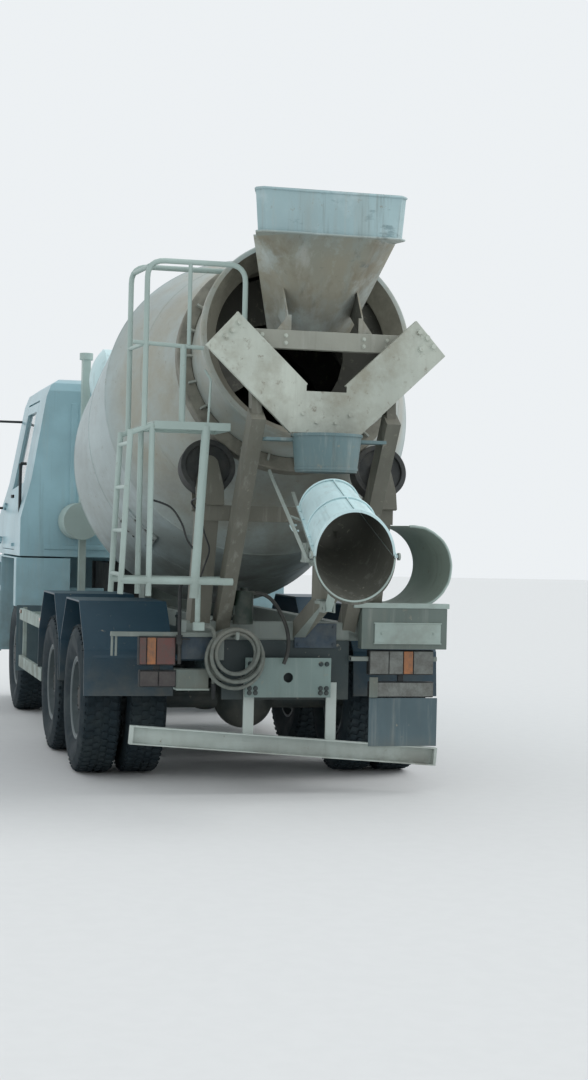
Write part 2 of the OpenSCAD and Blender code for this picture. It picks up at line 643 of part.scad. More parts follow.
// Mixer frame: sub-frame rails, front pedestal, rear pedestal with roller seats and struts
sub_h = 120;
sub_top = frame_top + sub_h;
ped_s = on_axis(gear_at + 200).x;
ped_z = on_axis(gear_at + 200).z;
roll_s = roller_point(1).x;
roll_z = roller_point(1).z;
roll_y = roller_point(1).y;
strut_y = 430;
strut_top = [-2060, 0, 2440];
strut_foot = [-frame_tail + 70, 0, sub_top - 40];
cross_s = -1990;
cross_z = [2850, 2965];
module roller_seat() {
    translate(roller_point(1)) rotate([0, 90 + drum_tilt, 0]) {
        for (z = [-roller_w / 2 - 34, roller_w / 2 + 4]) hull() {
            translate([0, 0, z]) cylinder(h = 30, r = 60, $fn = 32);
            translate([150, -90, z]) cube([120, 180, 30]);
        }
        translate([0, 0, -roller_w / 2 - 34]) cylinder(h = roller_w + 68, r = axle_pin_r);
    }
}
module mixer_frame() {
    color("lightgray") place() {
        both() {
            block([-frame_tail, frame_half - 90, frame_top + seat], [3300, frame_half - 10, sub_top]);
            box_bar([strut_foot.x + 20, roll_y, sub_top - 20], [roll_s - 50, roll_y, roll_z - 240], 130, 150);
            roller_seat();
            translate([0, strut_y, 0]) box_bar(strut_foot, strut_top, 90, 130);
            translate([0, strut_y, 0])
                box_bar(strut_top + [40, 0, -60], [cross_s + 40, 0, cross_z[0] + 20], 60, 90);
            block([strut_foot.x - 60, strut_y - 60, frame_top + seat],
                  [strut_foot.x + 120, roll_y + 90, sub_top]);
            block([ped_s - 140, 240, sub_top - 1], [ped_s + 140, 300, ped_z + 120]);
            block([ped_s - 40, 250, ped_z + 100], [ped_s + 560, 290, ped_z + 190]);
        }
        block([roll_s - 125, -roll_y - 72, roll_z - 340], [roll_s + 35, roll_y + 72, roll_z - 240]);
        block([cross_s - 30, -480, cross_z[0]], [cross_s + 30, 480, cross_z[1]]);
        difference() {
            block([ped_s - 60, -299, sub_top - 1], [ped_s + 40, 299, ped_z - 20]);
            block([ped_s - 70, -180, sub_top + 120], [ped_s + 50, 180, ped_z - 330]);
            at_drum(gear_at + 60) cylinder(h = 400, r = 190 + seat);
        }
        block([ped_s - 150, -frame_half + 10, frame_top + seat], [ped_s + 150, frame_half - 10, sub_top]);
        // Arm and bearing of the slewing chute
        translate([0, -85, 0])
            box_bar([-frame_tail + 30, 0, sub_top - 60], [-slew_back - 20, 0, 1410], 80, 110);
        difference() {
            translate([-slew_back, 0, 1320]) cylinder(h = 200, r = 70);
            translate([-slew_back, 0, 1319]) cylinder(h = 202, r = slew_pin_r + slip);
        }
        block([-frame_tail - 1, -frame_half, frame_top + seat], [-frame_tail + 99, frame_half, sub_top]);
        // Hook for the hose coil
        bar([-frame_tail, coil_at.y, hook_z], [coil_at.x - 45, coil_at.y, hook_z], 24);
        bar([coil_at.x - 50, coil_at.y, hook_z - 12], [coil_at.x - 60, coil_at.y, hook_z + 35], 24);
    }
}

// Hopper: flared collar over a funnel whose rear corners are cut and whose sides close toward the front
hop_back = -2130;
hop_front = -1530;
hop_front_half = 300;
collar_z = hopper_top - collar_h;
collar_cut = 40;
funnel_cut = 165;
foot_half = collar_half - 22;
lip_w = 12;
lip_t = 10;
outlet_z = 2985;
outlet_back = -1800;
outlet_half = 265;
outlet_cut = 200;
web_y = 240;
web_h = 95;
// One half of a plan with its rear corner cut, set out by a growth
function half_plan(back, front, half, front_half, cut, grow) = [
    [back - grow, half - cut + 0.414 * grow], [back + cut - 0.414 * grow, half + grow],
    [front + grow, front_half + grow]];
function full_plan(half) = concat(half, [for (i = [2 : -1 : 0]) [half[i].x, -half[i].y]]);
function collar_top(g) =
    full_plan(half_plan(hop_back - 6, hop_front + 4, collar_half, hop_front_half + 14, collar_cut, g));
function collar_foot(g) =
    full_plan(half_plan(hop_back, hop_front, foot_half, hop_front_half, collar_cut, g));
function funnel_top(g) =
    full_plan(half_plan(hop_back, hop_front, foot_half, hop_front_half, funnel_cut, g));
function outlet(g) = full_plan(half_plan(outlet_back, -1420, outlet_half, 200, outlet_cut, g));
// A point inside the funnel's wall beside a web, at a share of the funnel's height
function web_point(share, inset) = let (
    half = outlet_half + share * (foot_half - outlet_half),
    cut = outlet_cut + share * (funnel_cut - outlet_cut),
    back = outlet_back + share * (hop_back - outlet_back))
    [back + max(0, web_y - half + cut) + inset, outlet_z + share * (collar_z - outlet_z)];
// A solid between a plan above and a plan below
module shaft(top, top_z, low, low_z) {
    n = len(top);
    polyhedron([for (p = top) [p.x, p.y, top_z], for (p = low) [p.x, p.y, low_z]],
               concat([[for (i = [0 : n - 1]) i]], [[for (i = [n - 1 : -1 : 0]) n + i]],
                      [for (i = [0 : n - 1]) each [[(i + 1) % n, i, n + i],
                                                   [(i + 1) % n, n + i, n + (i + 1) % n]]]));
}
module hopper() {
    t = hopper_t;
    foot_z = cross_z[1] + seat;
    color("white") place() {
        difference() {
            union() {
                shaft(funnel_top(0), collar_z, outlet(0), outlet_z);
                // Webs that carry the funnel on the cross beam
                both() translate([0, web_y, 0]) across(10) polygon([
                    [cross_s - 22, foot_z], [cross_s + 20, foot_z], web_point(0.22, 20),
                    web_point(0.47, 10), [cross_s - 22, foot_z + web_h]]);
            }
            for (z = [-2, 2]) translate([0, 0, z]) shaft(funnel_top(-t), collar_z, outlet(-t), outlet_z);
        }
        difference() {
            shaft(collar_top(0), hopper_top, collar_foot(0), collar_z);
            for (z = [-1, 1]) translate([0, 0, z])
                shaft(collar_top(-t), hopper_top, collar_foot(-t), collar_z);
        }
        translate([0, 0, collar_z - lip_t / 2]) linear_extrude(lip_t) difference() {
            polygon(collar_foot(lip_w));
            polygon(funnel_top(-t + 2));
        }
        both() translate([cross_s - 22, 0, 0]) along(10)
            polygon([[web_y - 25, foot_z], [web_y + 65, foot_z], [web_y - 4, foot_z + web_h],
                     [web_y - 25, foot_z + web_h]]);
    }
}

// Side chutes: two plates with flanges that run down to the collector
v_s = -2085;
v_t = 8;
module side_plate() {
    along(v_t)
        polygon([[575, 3050], [758, 2850], [215, 2335], [0, 2335], [0, 2590], [128, 2590], [128, 2625]]);
    along(35) polygon([[575, 3050], [569, 3056], [120, 2633], [128, 2625]]);
    along(35) polygon([[758, 2850], [764, 2844], [221, 2328], [215, 2335]]);
}
module side_chutes() {
    color("beige") place() translate([v_s, 0, 0]) {
        both() side_plate();
        both() block([v_t - 1, 400, 2855], [cross_s - v_s - 30 - seat, 450, 2870]);
    }
}

// Collector: dark round collar under the side chutes
col_r0 = 215;
col_r1 = 190;
col_z = [2092, 2325];
module collector() {
    color("slategray") place() translate([-slew_back, 0, 0]) {
        rotate_extrude() polygon([[col_r1, col_z[0]], [col_r0, col_z[1]], [col_r0 - 7, col_z[1]],
                                  [col_r1 - 7, col_z[0]]]);
        both() block([0, col_r0 - 25, 2280], [150, strut_y - 45 - seat, 2300]);
    }
}

// Swivel: upright spindle and the fork that carries the chute
slew_pin_r = 40;
tilt_pin_r = 16;
fork_y = 110;
module chute_swivel() {
    color("gray") place() translate([-slew_back, 0, 0]) difference() {
        union() {
            translate([0, 0, 1290]) cylinder(h = 250, r = slew_pin_r);
            translate([0, 0, 1521]) cylinder(h = 24, r = 90);
            block([-70, -fork_y - 20, 1540], [70, fork_y + 20, 1556]);
            for (y = [-fork_y - 20, fork_y]) block([-45, y, 1555], [45, y + 20, tilt_z + 40]);
            // Arm under the bearing for the prop
            block([-85, -40, 1288], [45, 40, 1306]);
            for (y = [-37, 25]) block([-155, y, 1240], [-60, y + 12, 1300]);
        }
        translate([0, fork_y + 30, tilt_z]) rotate([90, 0, 0])
            cylinder(h = 2 * fork_y + 60, r = tilt_pin_r + slip);
        translate([-130, 50, prop_foot.z]) rotate([90, 0, 0]) cylinder(h = 100, r = prop_pin_r + slip);
    }
}

// Chute: tapered half pipe below, and its extension folded over it as the upper half
chute_end = [-slew_back - chute_reach, 0, chute_end_z];
chute_l = chute_reach / cos(chute_slope);
inlet_l = 150;
// Local frame: origin at the chute's end, +X up along the chute, +Z square to it
module at_chute() { translate(chute_end) rotate([0, -chute_slope, 0]) children(); }
function chute_r(x) = chute_r1 + (chute_r0 - chute_r1) * x / chute_l;
// A half of the tapered tube over a length, the upper (1) or the lower (-1), with rims along both
// edges, a band and an upright end
end_k = 130;
band_w = 28;
band_t = 9;
module half_pipe(l, side) {
    k = end_k;
    h = chute_tilt_gap / 2;
    difference() {
        union() {
            translate([0, 0, side * h]) rotate([0, 90, 0]) rotate_extrude(angle = 180, start = 90 * side)
                polygon([[chute_r(-k) - chute_t, -k], [chute_r(-k), -k], [chute_r(l), l],
                         [chute_r(l) - chute_t, l]]);
            intersection() {
                translate([0, 0, side * h]) rotate([0, 90, 0]) rotate_extrude(angle = 180, start = 90 * side)
                    polygon([[chute_r(-k) - 2, -k], [chute_r(-k) + band_t, -k], [chute_r(k) + band_t, k],
                             [chute_r(k) - 2, k]]);
                rotate([0, chute_slope, 0]) block([-400, -400, -400], [band_w, 400, 400]);
            }
            both() translate([0, 0, side > 0 ? h : -h - 8]) linear_extrude(8) polygon([
                [-k, chute_r(-k) - 1], [-k, chute_r(-k) + rim_flange], [l, chute_r(l) + rim_flange],
                [l, chute_r(l) - 1]]);
        }
        rotate([0, chute_slope, 0]) block([-500, -500, -500], [h, 500, 500]);
    }
}
fold_y = chute_r1 + rim_flange + 4;
fold_r = 9;
// Local place of the prop's eye under the chute, then in the truck's frame
eye_x = 290;
eye_drop = 35;
eye_local = [eye_x, 0, -chute_r(eye_x) - chute_tilt_gap / 2 - eye_drop];
prop_eye = chute_end + [eye_local.x * cos(chute_slope) - eye_local.z * sin(chute_slope), 0,
                        eye_local.x * sin(chute_slope) + eye_local.z * cos(chute_slope)];
module main_chute() {
    color("gainsboro") place() {
        at_chute() {
            difference() {
                half_pipe(chute_l + inlet_l, -1);
                both() translate([0, fold_y - 24, 0]) rotate([-90, 0, 0]) cylinder(h = 30, r = fold_r + 4);
            }
            // Hinge lugs of the extension
            both() difference() {
                translate([0, fold_y, 0]) rotate([-90, 0, 0]) cylinder(h = 12, r = 22);
                translate([0, fold_y - 1, 0]) rotate([-90, 0, 0]) cylinder(h = 14, r = fold_r + slip);
            }
            both() block([12, fold_y - 20, -14], [20, fold_y + 1, -chute_tilt_gap / 2]);
            // Bracket of the prop
            translate(eye_local) both() block([-24, 24, -20], [24, 34, eye_drop + 5]);
            translate(eye_local) rotate([90, 0, 0]) cylinder(h = 60, r = prop_pin_r, center = true);
        }
        // Saddle and tilting pin
        translate([-slew_back, 0, tilt_z]) {
            rotate([90, 0, 0]) cylinder(h = 2 * fork_y + 50, r = tilt_pin_r, center = true);
            both() block([-60, 60, -22], [60, 76, saddle_h]);
            block([-60, -76, -22], [60, 76, 22]);
        }
        bar([chute_end.x + 30, fold_y + 20, chute_end.z - 30], [-slew_back + 230, 300, 2100], 24);
        bar([-2330, 204, 1794], [-2330, 289, 1822], 16);
    }
}
saddle_h = 118;
// The extension ends where it swings past the collector's rear foot with this clearance
fold_clear = 10;
fold_reach = norm([-slew_back - col_r1 - chute_end.x, col_z[0] - chute_end.z]) - fold_clear;
dome_l = sqrt(pow(fold_reach, 2) - pow(chute_r(0.88 * chute_l) + chute_tilt_gap, 2));
rib_x = 120;
module chute_extension() {
    color("white") place() at_chute() {
        half_pipe(dome_l, 1);
        both() {
            translate([0, fold_y - 22, 0]) rotate([-90, 0, 0]) cylinder(h = 33, r = fold_r);
            block([4, fold_y - 22, 0], [26, fold_y - 4, 12]);
        }
        translate([rib_x, -4, chute_r(rib_x) - 4]) rotate([0, atan((chute_r1 - chute_r0) / chute_l), 0])
            cube([dome_l - rib_x - 12, 8, 16]);
    }
}

// Prop: barrel pinned to the swivel, rod reaching to the chute
prop_pin_r = 12;
// The rod's eye is wide, since the linked motion leaves the pin by up to this much
prop_drift = 3.6;
prop_foot = [-slew_back - 130, 0, 1265];
prop_l = norm(prop_eye - prop_foot);
prop_pitch = atan2(prop_eye.z - prop_foot.z, prop_foot.x - prop_eye.x);
module at_prop() { translate(prop_foot) rotate([0, prop_pitch, 0]) mirror([1, 0, 0]) children(); }
module prop_barrel() {
    color("darkgreen") place() at_prop() {
        rotate([90, 0, 0]) cylinder(h = 64, r = prop_pin_r, center = true);
        rotate([90, 0, 0]) cylinder(h = 40, r = 20, center = true);
        difference() {
            translate([14, 0, 0]) rotate([0, 90, 0]) cylinder(h = 201, r = 25);
            translate([24, 0, 0]) rotate([0, 90, 0]) cylinder(h = 200, r = 13 + slip);
        }
    }
}
module prop_rod() {
    color("silver") place() at_prop() {
        translate([70, 0, 0]) rotate([0, 90, 0])
            cylinder(h = prop_l - 70 - prop_pin_r - prop_drift - 2, r = 13);
        translate([prop_l, 0, 0]) rotate([90, 0, 0]) difference() {
            cylinder(h = 40, r = prop_pin_r + prop_drift + 8, center = true);
            cylinder(h = 50, r = prop_pin_r + prop_drift, center = true);
        }
    }
}

// Platform with its rails and the ladder on the left
plat_s = [-1820, -1380];
plat_y = [540, 540 + platform_w];
module access_ladder() {
    d = rail_d;
    color("gainsboro") place() {
        block([plat_s[0], plat_y[0], platform_z], [plat_s[1], plat_y[1], platform_z + 30]);
        // Ladder
        for (s = [-1800, -1420]) {
            bar([s, 1205, 1320], [s, 1163, 2330], d);
            bar([s, 1010, platform_z + 12], [s, 1164, platform_z - 50], d - 4);
        }
        for (i = [0 : 3]) let (y = 1200 - 11 * i, z = 1440 + 270 * i) bar([-1800, y, z], [-1420, y, z], 26);
        // Posts and rails
        for (s = [-1800, -1400]) {
            bar([s, 1030, 1310], [s, 1030, 3400], d);
            bar([s, 790, platform_z + 10], [s, 790, 3390], d);
        }
        for (z = [2900, 3400]) bar([-1800, 1030, z], [-1400, 1030, z], d);
        bar([-1800, 1030, 3400], [-1800, 560, 3400], d);
        bar([-1800, 1030, 2900], [-1800, 560, 2900], d);
        bar([-1800, 745, 1300], [-1800, 690, platform_z + 10], 55);
        for (s = [-1800, -1420]) bar([s, 500, 1405], [s, 1203, 1405], 44);
        // Water valve on its pipe
        bar([-1420, 640, 1400], [-1420, 640, 1100], 34);
        block([-1445, 598 + seat, 1080], [-1395, 665, 1132]);
    }
}

// Water tank across the top of the front pedestal
tank_s = 3040;
tank_r = 270;
tank_z = 3010;
module water_tank() {
    color("aliceblue") place() {
        translate([tank_s, 0, tank_z]) rotate([90, 0, 0]) {
            cylinder(h = 1240, r = tank_r, center = true);
            for (side = [-1, 1]) intersection() {
                translate([0, 0, side * (620 - 270)]) sphere(r = 380);
                cylinder(h = 1460, r = tank_r - 1, center = true);
            }
        }
        both() block([tank_s - 40, 250, ped_z + 190 + seat], [tank_s + 40, 290, tank_z - tank_r + 40]);
    }
}

// Spare chute sections carried on the right
module trough(l, r, a0, a1) {
    rotate([90, 0, 90]) linear_extrude(l) difference() {
        intersection() {
            circle(r = r, $fn = 64);
            polygon([[0, 0], for (i = [0 : 6]) let (a = a0 + (a1 - a0) * i / 6) 2 * r * [cos(a), sin(a)]]);
        }
        circle(r = r - 6, $fn = 64);
    }
}
box_top = 1235;
spare_r = 275;
module spare_chutes() {
    color("gainsboro") place() translate([-1270, -848, box_top + spare_r + seat])
        trough(820, spare_r, 82, 272);
}
module toolbox() {
    color("slategray") place() {
        block([-1330, -1076, 964], [-900, -690, box_top]);
        block([-1342, -1076, 964], [-1262, -482, box_top]);
        block([-1263, -600, 1040], [strut_foot.x - 60 - seat, -500, 1100]);
    }
}

// Small tank for the wash-down water beside the left strut
flask = [-1292, 312, 1118];
flask_r = 66;
module wash_flask() {
    color("darkgreen") place() {
        translate(flask) cylinder(h = 218, r = flask_r);
        translate([flask.x, flask.y, flask.z + 215]) cylinder(h = 22, r = 24);
        bar([flask.x, flask.y - 30, flask.z + 200], [flask.x, flask.y - flask_r - 12, flask.z + 200], 34);
        block([flask.x - 30, flask.y + 55, flask.z + 60], [flask.x + 30, strut_y - 45 - seat, flask.z + 120]);
    }
}

// Hoses: a coil hung on its hook, its tail to the valve, and a drain hose
coil_at = [-1350, 370, 930];
coil_mean_r = 5.5 * hose_d;
hook_z = coil_at.z + coil_mean_r - hose_d - 12 - seat;
module hose_coil() {
    color("dimgray") place() translate(coil_at) rotate([0, 90, 0]) rotate_extrude()
        translate([coil_mean_r, 0]) square([2 * hose_d, 3 * hose_d], center = true);
}
module swept(points, d, sides = 8) {
    n = len(points);
    dirs = [for (i = [0 : n - 1]) let (v = points[min(i + 1, n - 1)] - points[max(i - 1, 0)]) v / norm(v)];
    rings = [for (i = [0 : n - 1]) let (
        x = dirs[i],
        a = cross(x, [0, 1, 0.01]),
        u = a / norm(a),
        w = cross(x, u))
        each [for (k = [0 : sides - 1]) let (a = 360 * k / sides)
            points[i] + d / 2 * (cos(a) * u + sin(a) * w)]];
    faces = [for (i = [0 : n - 2]) for (k = [0 : sides - 1]) let (m = (k + 1) % sides)
        each [[i * sides + k, (i + 1) * sides + k, (i + 1) * sides + m],
              [i * sides + k, (i + 1) * sides + m, i * sides + m]]];
    polyhedron(rings, concat(faces, [[for (k = [0 : sides - 1]) k]],
                             [[for (k = [sides - 1 : -1 : 0]) (n - 1) * sides + k]]));
}
tail_route = [[-1350, 502, 930], [-1351, 502, 965], [-1355, 504, 1000], [-1363, 510, 1034],
              [-1376, 521, 1064], [-1393, 536, 1088], [-1409, 555, 1103], [-1420, 577, 1107],
              [-1420, 598, 1107]];
drain_route = [[-1292, 233.7, 1318], [-1292, 205, 1318], [-1298, 168, 1308], [-1310, 130, 1282],
               [-1321, 98, 1243], [-1331, 70, 1196], [-1338, 45, 1142], [-1341, 26, 1085],
               [-1342, 15, 1025], [-1342, 15, 965], [-1342, 26, 910], [-1342, 44, 862]];
module hose_tail() { color("dimgray") place() swept(tail_route, hose_d); }
module drain_hose() { color("dimgray") place() swept(drain_route, hose_d); }

// Cab outline: side profile and front section, drawn once and set in for the inside
cab_r_s = front_axle_s - cab_rear;
cab_f_s = front_axle_s + cab_front;
cab_profile = [[cab_r_s, cab_floor], [cab_r_s, cab_top - 130], [cab_r_s + 30, cab_top - 60],
               [cab_r_s + 120, cab_top - 20], [cab_f_s - 700, cab_top], [cab_f_s - 380, cab_top - 20],
               [cab_f_s - 250, cab_top - 90], [cab_f_s - 40, 2010], [cab_f_s, 1900], [cab_f_s, cab_floor]];
function cab_sides(h) = [[h, cab_floor - 1], [h, 1800], [h - 90, 2150], [roof_half, cab_top - 190],
                         [roof_half - 40, cab_top - 80], [roof_half - 130, cab_top - 15], [0, cab_top + 10]];
function side_y(z) = z < 1800 ? cab_half : z < 2150 ? cab_half - 90 * (z - 1800) / 350
    : cab_half - 90 + (roof_half - cab_half + 90) * (z - 2150) / (cab_top - 190 - 2150);
function set_in(p, q, d) = [p.x + (q.x > p.x ? d : -d), p.y + (q.y > p.y ? d : -d)];
cab_mid = [(cab_r_s + cab_f_s) / 2, (cab_floor + cab_top) / 2];
module cab_solid(d) {
    side = [for (p = cab_profile) set_in(p, cab_mid, d)];
    half = [for (p = cab_sides(cab_half)) [max(p.x - d, 0), p.y < cab_floor ? p.y + d : p.y - d]];
    intersection() {
        across(3000) polygon(side);
        translate([cab_r_s - 10, 0, 0]) along(cab_f_s - cab_r_s + 20)
            polygon(concat(half, [for (i = [len(half) - 2 : -1 : 0]) [-half[i].x, half[i].y]]));
    }
}
door_s = [front_axle_s - door_rear, front_axle_s + door_front];
door_z = [cab_floor + wall_t + 3, cab_top - 190];
// The hinge line leans, so the door rises as it opens and needs more room above
rise_gap = 2.6;
function door_line(d) = [[door_s[0] + d, door_z[0] + d], [door_s[1] - d, door_z[0] + d],
                         [door_s[1] - d, 1980], [door_s[1] - 190 - d, door_z[1] - rise_gap * d],
                         [door_s[0] + d, door_z[1] - rise_gap * d]];
window_line = [[door_s[0] + 110, 2130], [door_s[1] - 110, 2080], [door_s[1] - 260, door_z[1] - 100],
               [door_s[0] + 110, door_z[1] - 100]];
module side_cut(points, w = 1400, inside = 700) {
    translate([0, inside + w / 2, 0]) across(w) polygon(points);
}
screen_line = [[-1010, 2060], [1010, 2060], [900, 2900], [-900, 2900]];
skirt_z = 960;
tilt_pivot = [front_axle_s + 975, 0, 1050];
tilt_r = 24;
ear_r = 34;
ear_y = [352, 376];
module cab_shell() {
    color("aliceblue") place() {
        difference() {
            cab_solid(0);
            cab_solid(wall_t);
            both() side_cut(door_line(0));
            translate([cab_f_s - 420, 0, 0]) along(600) polygon(screen_line);
        }
        both() for (z = hinge_z) at_hinge(z) hinge_post();
        // Front skirt and its returns
        difference() {
            block([cab_f_s - 200, -cab_half + 40, skirt_z], [cab_f_s, cab_half - 40, cab_floor + 20]);
            block([cab_f_s - 210, -cab_half + 80, skirt_z - 1], [cab_f_s - 40, cab_half - 80, cab_floor + 1]);
        }
        // Hinge ears of the tilting cab
        both() difference() {
            union() {
                block([tilt_pivot.x - ear_r + 1, ear_y[0], tilt_pivot.z],
                      [tilt_pivot.x + ear_r - 1, ear_y[1], cab_floor + 10]);
                translate([tilt_pivot.x, ear_y[0], tilt_pivot.z]) rotate([-90, 0, 0])
                    cylinder(h = ear_y[1] - ear_y[0], r = ear_r);
            }
            translate([tilt_pivot.x, ear_y[0] - 12, tilt_pivot.z]) rotate([-90, 0, 0])
                cylinder(h = 50, r = tilt_r + slip);
        }
    }
}
module windscreen() {
    color("lightblue") place() intersection() {
        difference() {
            cab_solid(12);
            cab_solid(20);
        }
        translate([cab_f_s - 420, 0, 0]) along(600) offset(-seat) polygon(screen_line);
    }
}
module grille() {
    color("dimgray") place() {
        for (i = [0 : 5]) block([cab_f_s + seat, -700, 1180 + 95 * i], [cab_f_s + 22, 700, 1225 + 95 * i]);
        for (y = [-700, -240, 220, 680]) block([cab_f_s + seat, y, 1180], [cab_f_s + 14, y + 20, 1700]);
    }
}
module seats() {
    color("dimgray") place() for (y = [-560, 560]) translate([front_axle_s + 60, y, 0]) {
        block([-200, -180, cab_floor + wall_t + seat], [150, 180, cab_floor + 330]);
        block([-260, -250, cab_floor + 329], [260, 250, cab_floor + 450]);
        translate([-250, 0, cab_floor + 440]) rotate([0, -12, 0]) block([-60, -240, 0], [60, 240, 650]);
        translate([-400, 0, cab_floor + 1050]) rotate([0, -12, 0]) block([-40, -130, 10], [40, 130, 190]);
    }
}
module dashboard() {
    color("dimgray") place() {
        across(2 * cab_half - 260) polygon([
            [cab_f_s - wall_t - seat - 30, 1700], [cab_f_s - 330, 1650], [cab_f_s - 360, 1900],
            [cab_f_s - 300, 1985], [cab_f_s - 110, 2010], [cab_f_s - wall_t - seat - 30, 1900]]);
        translate([cab_f_s - 480, 560, 2010]) rotate([0, -62, 0]) {
            rotate_extrude() translate([225, 0]) circle(r = 16, $fn = 24);
            for (a = [0, 120, 240]) rotate([0, 0, a]) translate([20, -12, -8]) cube([200, 24, 14]);
            cylinder(h = 30, r = 50, center = true);
        }
        bar([cab_f_s - 480, 560, 2010], [cab_f_s - 300, 560, 1900], 60);
        block([cab_f_s - 300, -300, cab_floor + wall_t + seat], [cab_f_s - wall_t - seat - 30, 300, 1701]);
    }
}
mirror_s = cab_f_s - 200;
module mirrors() {
    color("black") place() both() {
        for (z = [1900, 2760]) bar([mirror_s - 40, side_y(z - 12) + seat, z], [mirror_s - 40, 1400, z], 24);
        bar([mirror_s - 40, 1400, 1890], [mirror_s - 40, 1400, 2772], 24);
        block([mirror_s - 90, 1300, 2050], [mirror_s - 50, 1480, 2600]);
    }
}
// Two hinges on each door, on one line that follows the lean of the cab's side
hinge_z = [1590, 1915];
hinge_pin_r = 8;
lean = atan((cab_half - roof_half) / (cab_top - 190 - 1800));
module at_hinge(z) {
    translate([door_s[1] - 3, cab_half + 10 - (z - 1800) * tan(lean), z]) rotate([lean, 0, 0]) children();
}
module hinge_eye() {
    difference() {
        union() {
            cylinder(h = 30, r = 14, center = true);
            block([-32, -42, -15], [0, 8, 15]);
        }
        cylinder(h = 40, r = hinge_pin_r + slip, center = true);
    }
}
module hinge_post() {
    cylinder(h = 74, r = hinge_pin_r, center = true);
    for (z = [-35, 17]) block([5, -42, z], [34, 8, z + 18]);
}
module cab_door() {
    for (z = hinge_z) at_hinge(z) hinge_eye();
    difference() {
        intersection() {
            difference() {
                cab_solid(0);
                cab_solid(wall_t);
            }
            side_cut(door_line(door_gap));
        }
        side_cut(window_line);
    }
    block([door_s[0] + 60, cab_half - 6, 1535], [door_s[0] + 190, cab_half + 22, 1565]);
}
module cab_door_glass() {
    intersection() {
        difference() {
            cab_solid(20);
            cab_solid(27);
        }
        side_cut([for (p = window_line) [p.x + (p.x > (door_s[0] + door_s[1]) / 2 ? -seat : seat),
                                         p.y + (p.y > 2500 ? -seat : seat)]]);
    }
}
module door_left() { color("aliceblue") place() cab_door(); }
module door_right() { color("aliceblue") place() mirror([0, 1, 0]) cab_door(); }
module door_glass_left() { color("lightblue") place() cab_door_glass(); }
module door_glass_right() { color("lightblue") place() mirror([0, 1, 0]) cab_door_glass(); }

frame();
cross_members();
tail_plate();
engine();
front_axle();
rear_axles();
bumper();
wings();
side_tanks();
side_guards();
intake_stack();
mudguards();
lamps();
underrun_beam();
mixer_frame();
drum_drive();
hopper();
side_chutes();
collector();
access_ladder();
water_tank();
spare_chutes();
toolbox();
wash_flask();
hose_coil();
hose_tail();
drain_hose();
cab_shell();
windscreen();
grille();
seats();
dashboard();
mirrors();
door_left();
door_glass_left();
door_right();
door_glass_right();
drum_shell();
drum_ring();
drum_blades();
roller_left();
roller_right();
chute_swivel();
main_chute();
chute_extension();
prop_barrel();
prop_rod();
knuckle_left();
knuckle_right();
wheel_front_left();
wheel_front_right();
wheel_mid_left();
wheel_mid_right();
wheel_rear_left();
wheel_rear_right();
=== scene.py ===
"""Concrete mixer truck: finishes, tyres, drum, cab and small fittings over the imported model."""

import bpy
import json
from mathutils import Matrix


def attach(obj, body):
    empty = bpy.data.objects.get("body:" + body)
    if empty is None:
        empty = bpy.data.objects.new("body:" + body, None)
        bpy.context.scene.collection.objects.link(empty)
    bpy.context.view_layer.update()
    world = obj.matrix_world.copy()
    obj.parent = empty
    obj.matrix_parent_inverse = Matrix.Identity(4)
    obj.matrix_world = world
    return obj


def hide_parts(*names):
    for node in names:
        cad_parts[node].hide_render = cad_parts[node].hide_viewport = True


bl_info = {
    "name": "Concrete mixer truck",
    "version": (1, 0, 0),
    "blender": (4, 5, 0),
    "location": "3D View > Sidebar > Mixer",
    "description": "Dresses the packed mixer truck and lights it",
    "category": "Object",
}

import json
import math

import bmesh
import bpy
from bpy.props import FloatProperty, FloatVectorProperty, IntProperty, PointerProperty
from mathutils import Matrix, Vector, noise

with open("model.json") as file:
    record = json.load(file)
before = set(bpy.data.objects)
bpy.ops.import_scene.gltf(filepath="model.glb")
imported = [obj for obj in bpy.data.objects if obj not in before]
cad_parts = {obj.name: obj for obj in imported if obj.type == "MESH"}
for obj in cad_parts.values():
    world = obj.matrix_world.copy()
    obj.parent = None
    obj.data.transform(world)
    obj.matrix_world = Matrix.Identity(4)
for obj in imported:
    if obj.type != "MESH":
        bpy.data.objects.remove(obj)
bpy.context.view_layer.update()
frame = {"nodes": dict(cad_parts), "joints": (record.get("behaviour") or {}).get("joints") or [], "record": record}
NODES = frame["nodes"]
BODY_OF = {n: b for b, ns in frame["record"]["behaviour"]["bodies"].items() for n in ns}

# Row X of the rear axle, from which part.scad counts its stations forward
REAR_AXLE_X = next(j["pos_m"][0] for j in frame["joints"] if j["name"] == "spin_rear_left")

# Photo: height and focal length in pixels, and the camera's fitted station and angles
PHOTO_H = 1080
PHOTO_FOCAL = 1867.6
CAMERA_AT = (-13150, 3045, 1716)
CAMERA_TURN = math.radians(14.49)
CAMERA_PITCH = math.radians(-0.203)
CAMERA_ROLL = math.radians(1.342)
SENSOR = 36

# Sizes shared by the pieces, in millimetres; stations run forward from the rear axle
AXLES = {"front": 4575, "mid": 1350, "rear": 0}
HUB_Z = 520
RIM_R = 286
OUTER_TYRE_Y = {"front": 1030, "mid": 1100, "rear": 1100}
TWIN_PITCH = 320
SIDES = (("left", 1), ("right", -1))
# Drum, with lengths measured from its mouth along its axis
DRUM_MOUTH = (-1580, 0, 2965)
DRUM_TILT = math.radians(14.8)
DRUM_SHEET = 10
MOUTH_R = 665
BELLY_R = 1095
BELLY_AT = 1360
BELLY_END = 2900
HEAD_R = 740
HEAD_AT = 4100
RING_R = 760
RING_AT = 432
RING_END = 528
# Lower chute: its low end and its slope, and its radii in metres
CHUTE_END = (-2790, 0, 1594.9)
CHUTE_SLOPE = math.radians(25)
CHUTE_R = 0.243
EXTENSION_R = 0.240
EXTENSION_TAPER = 0.08
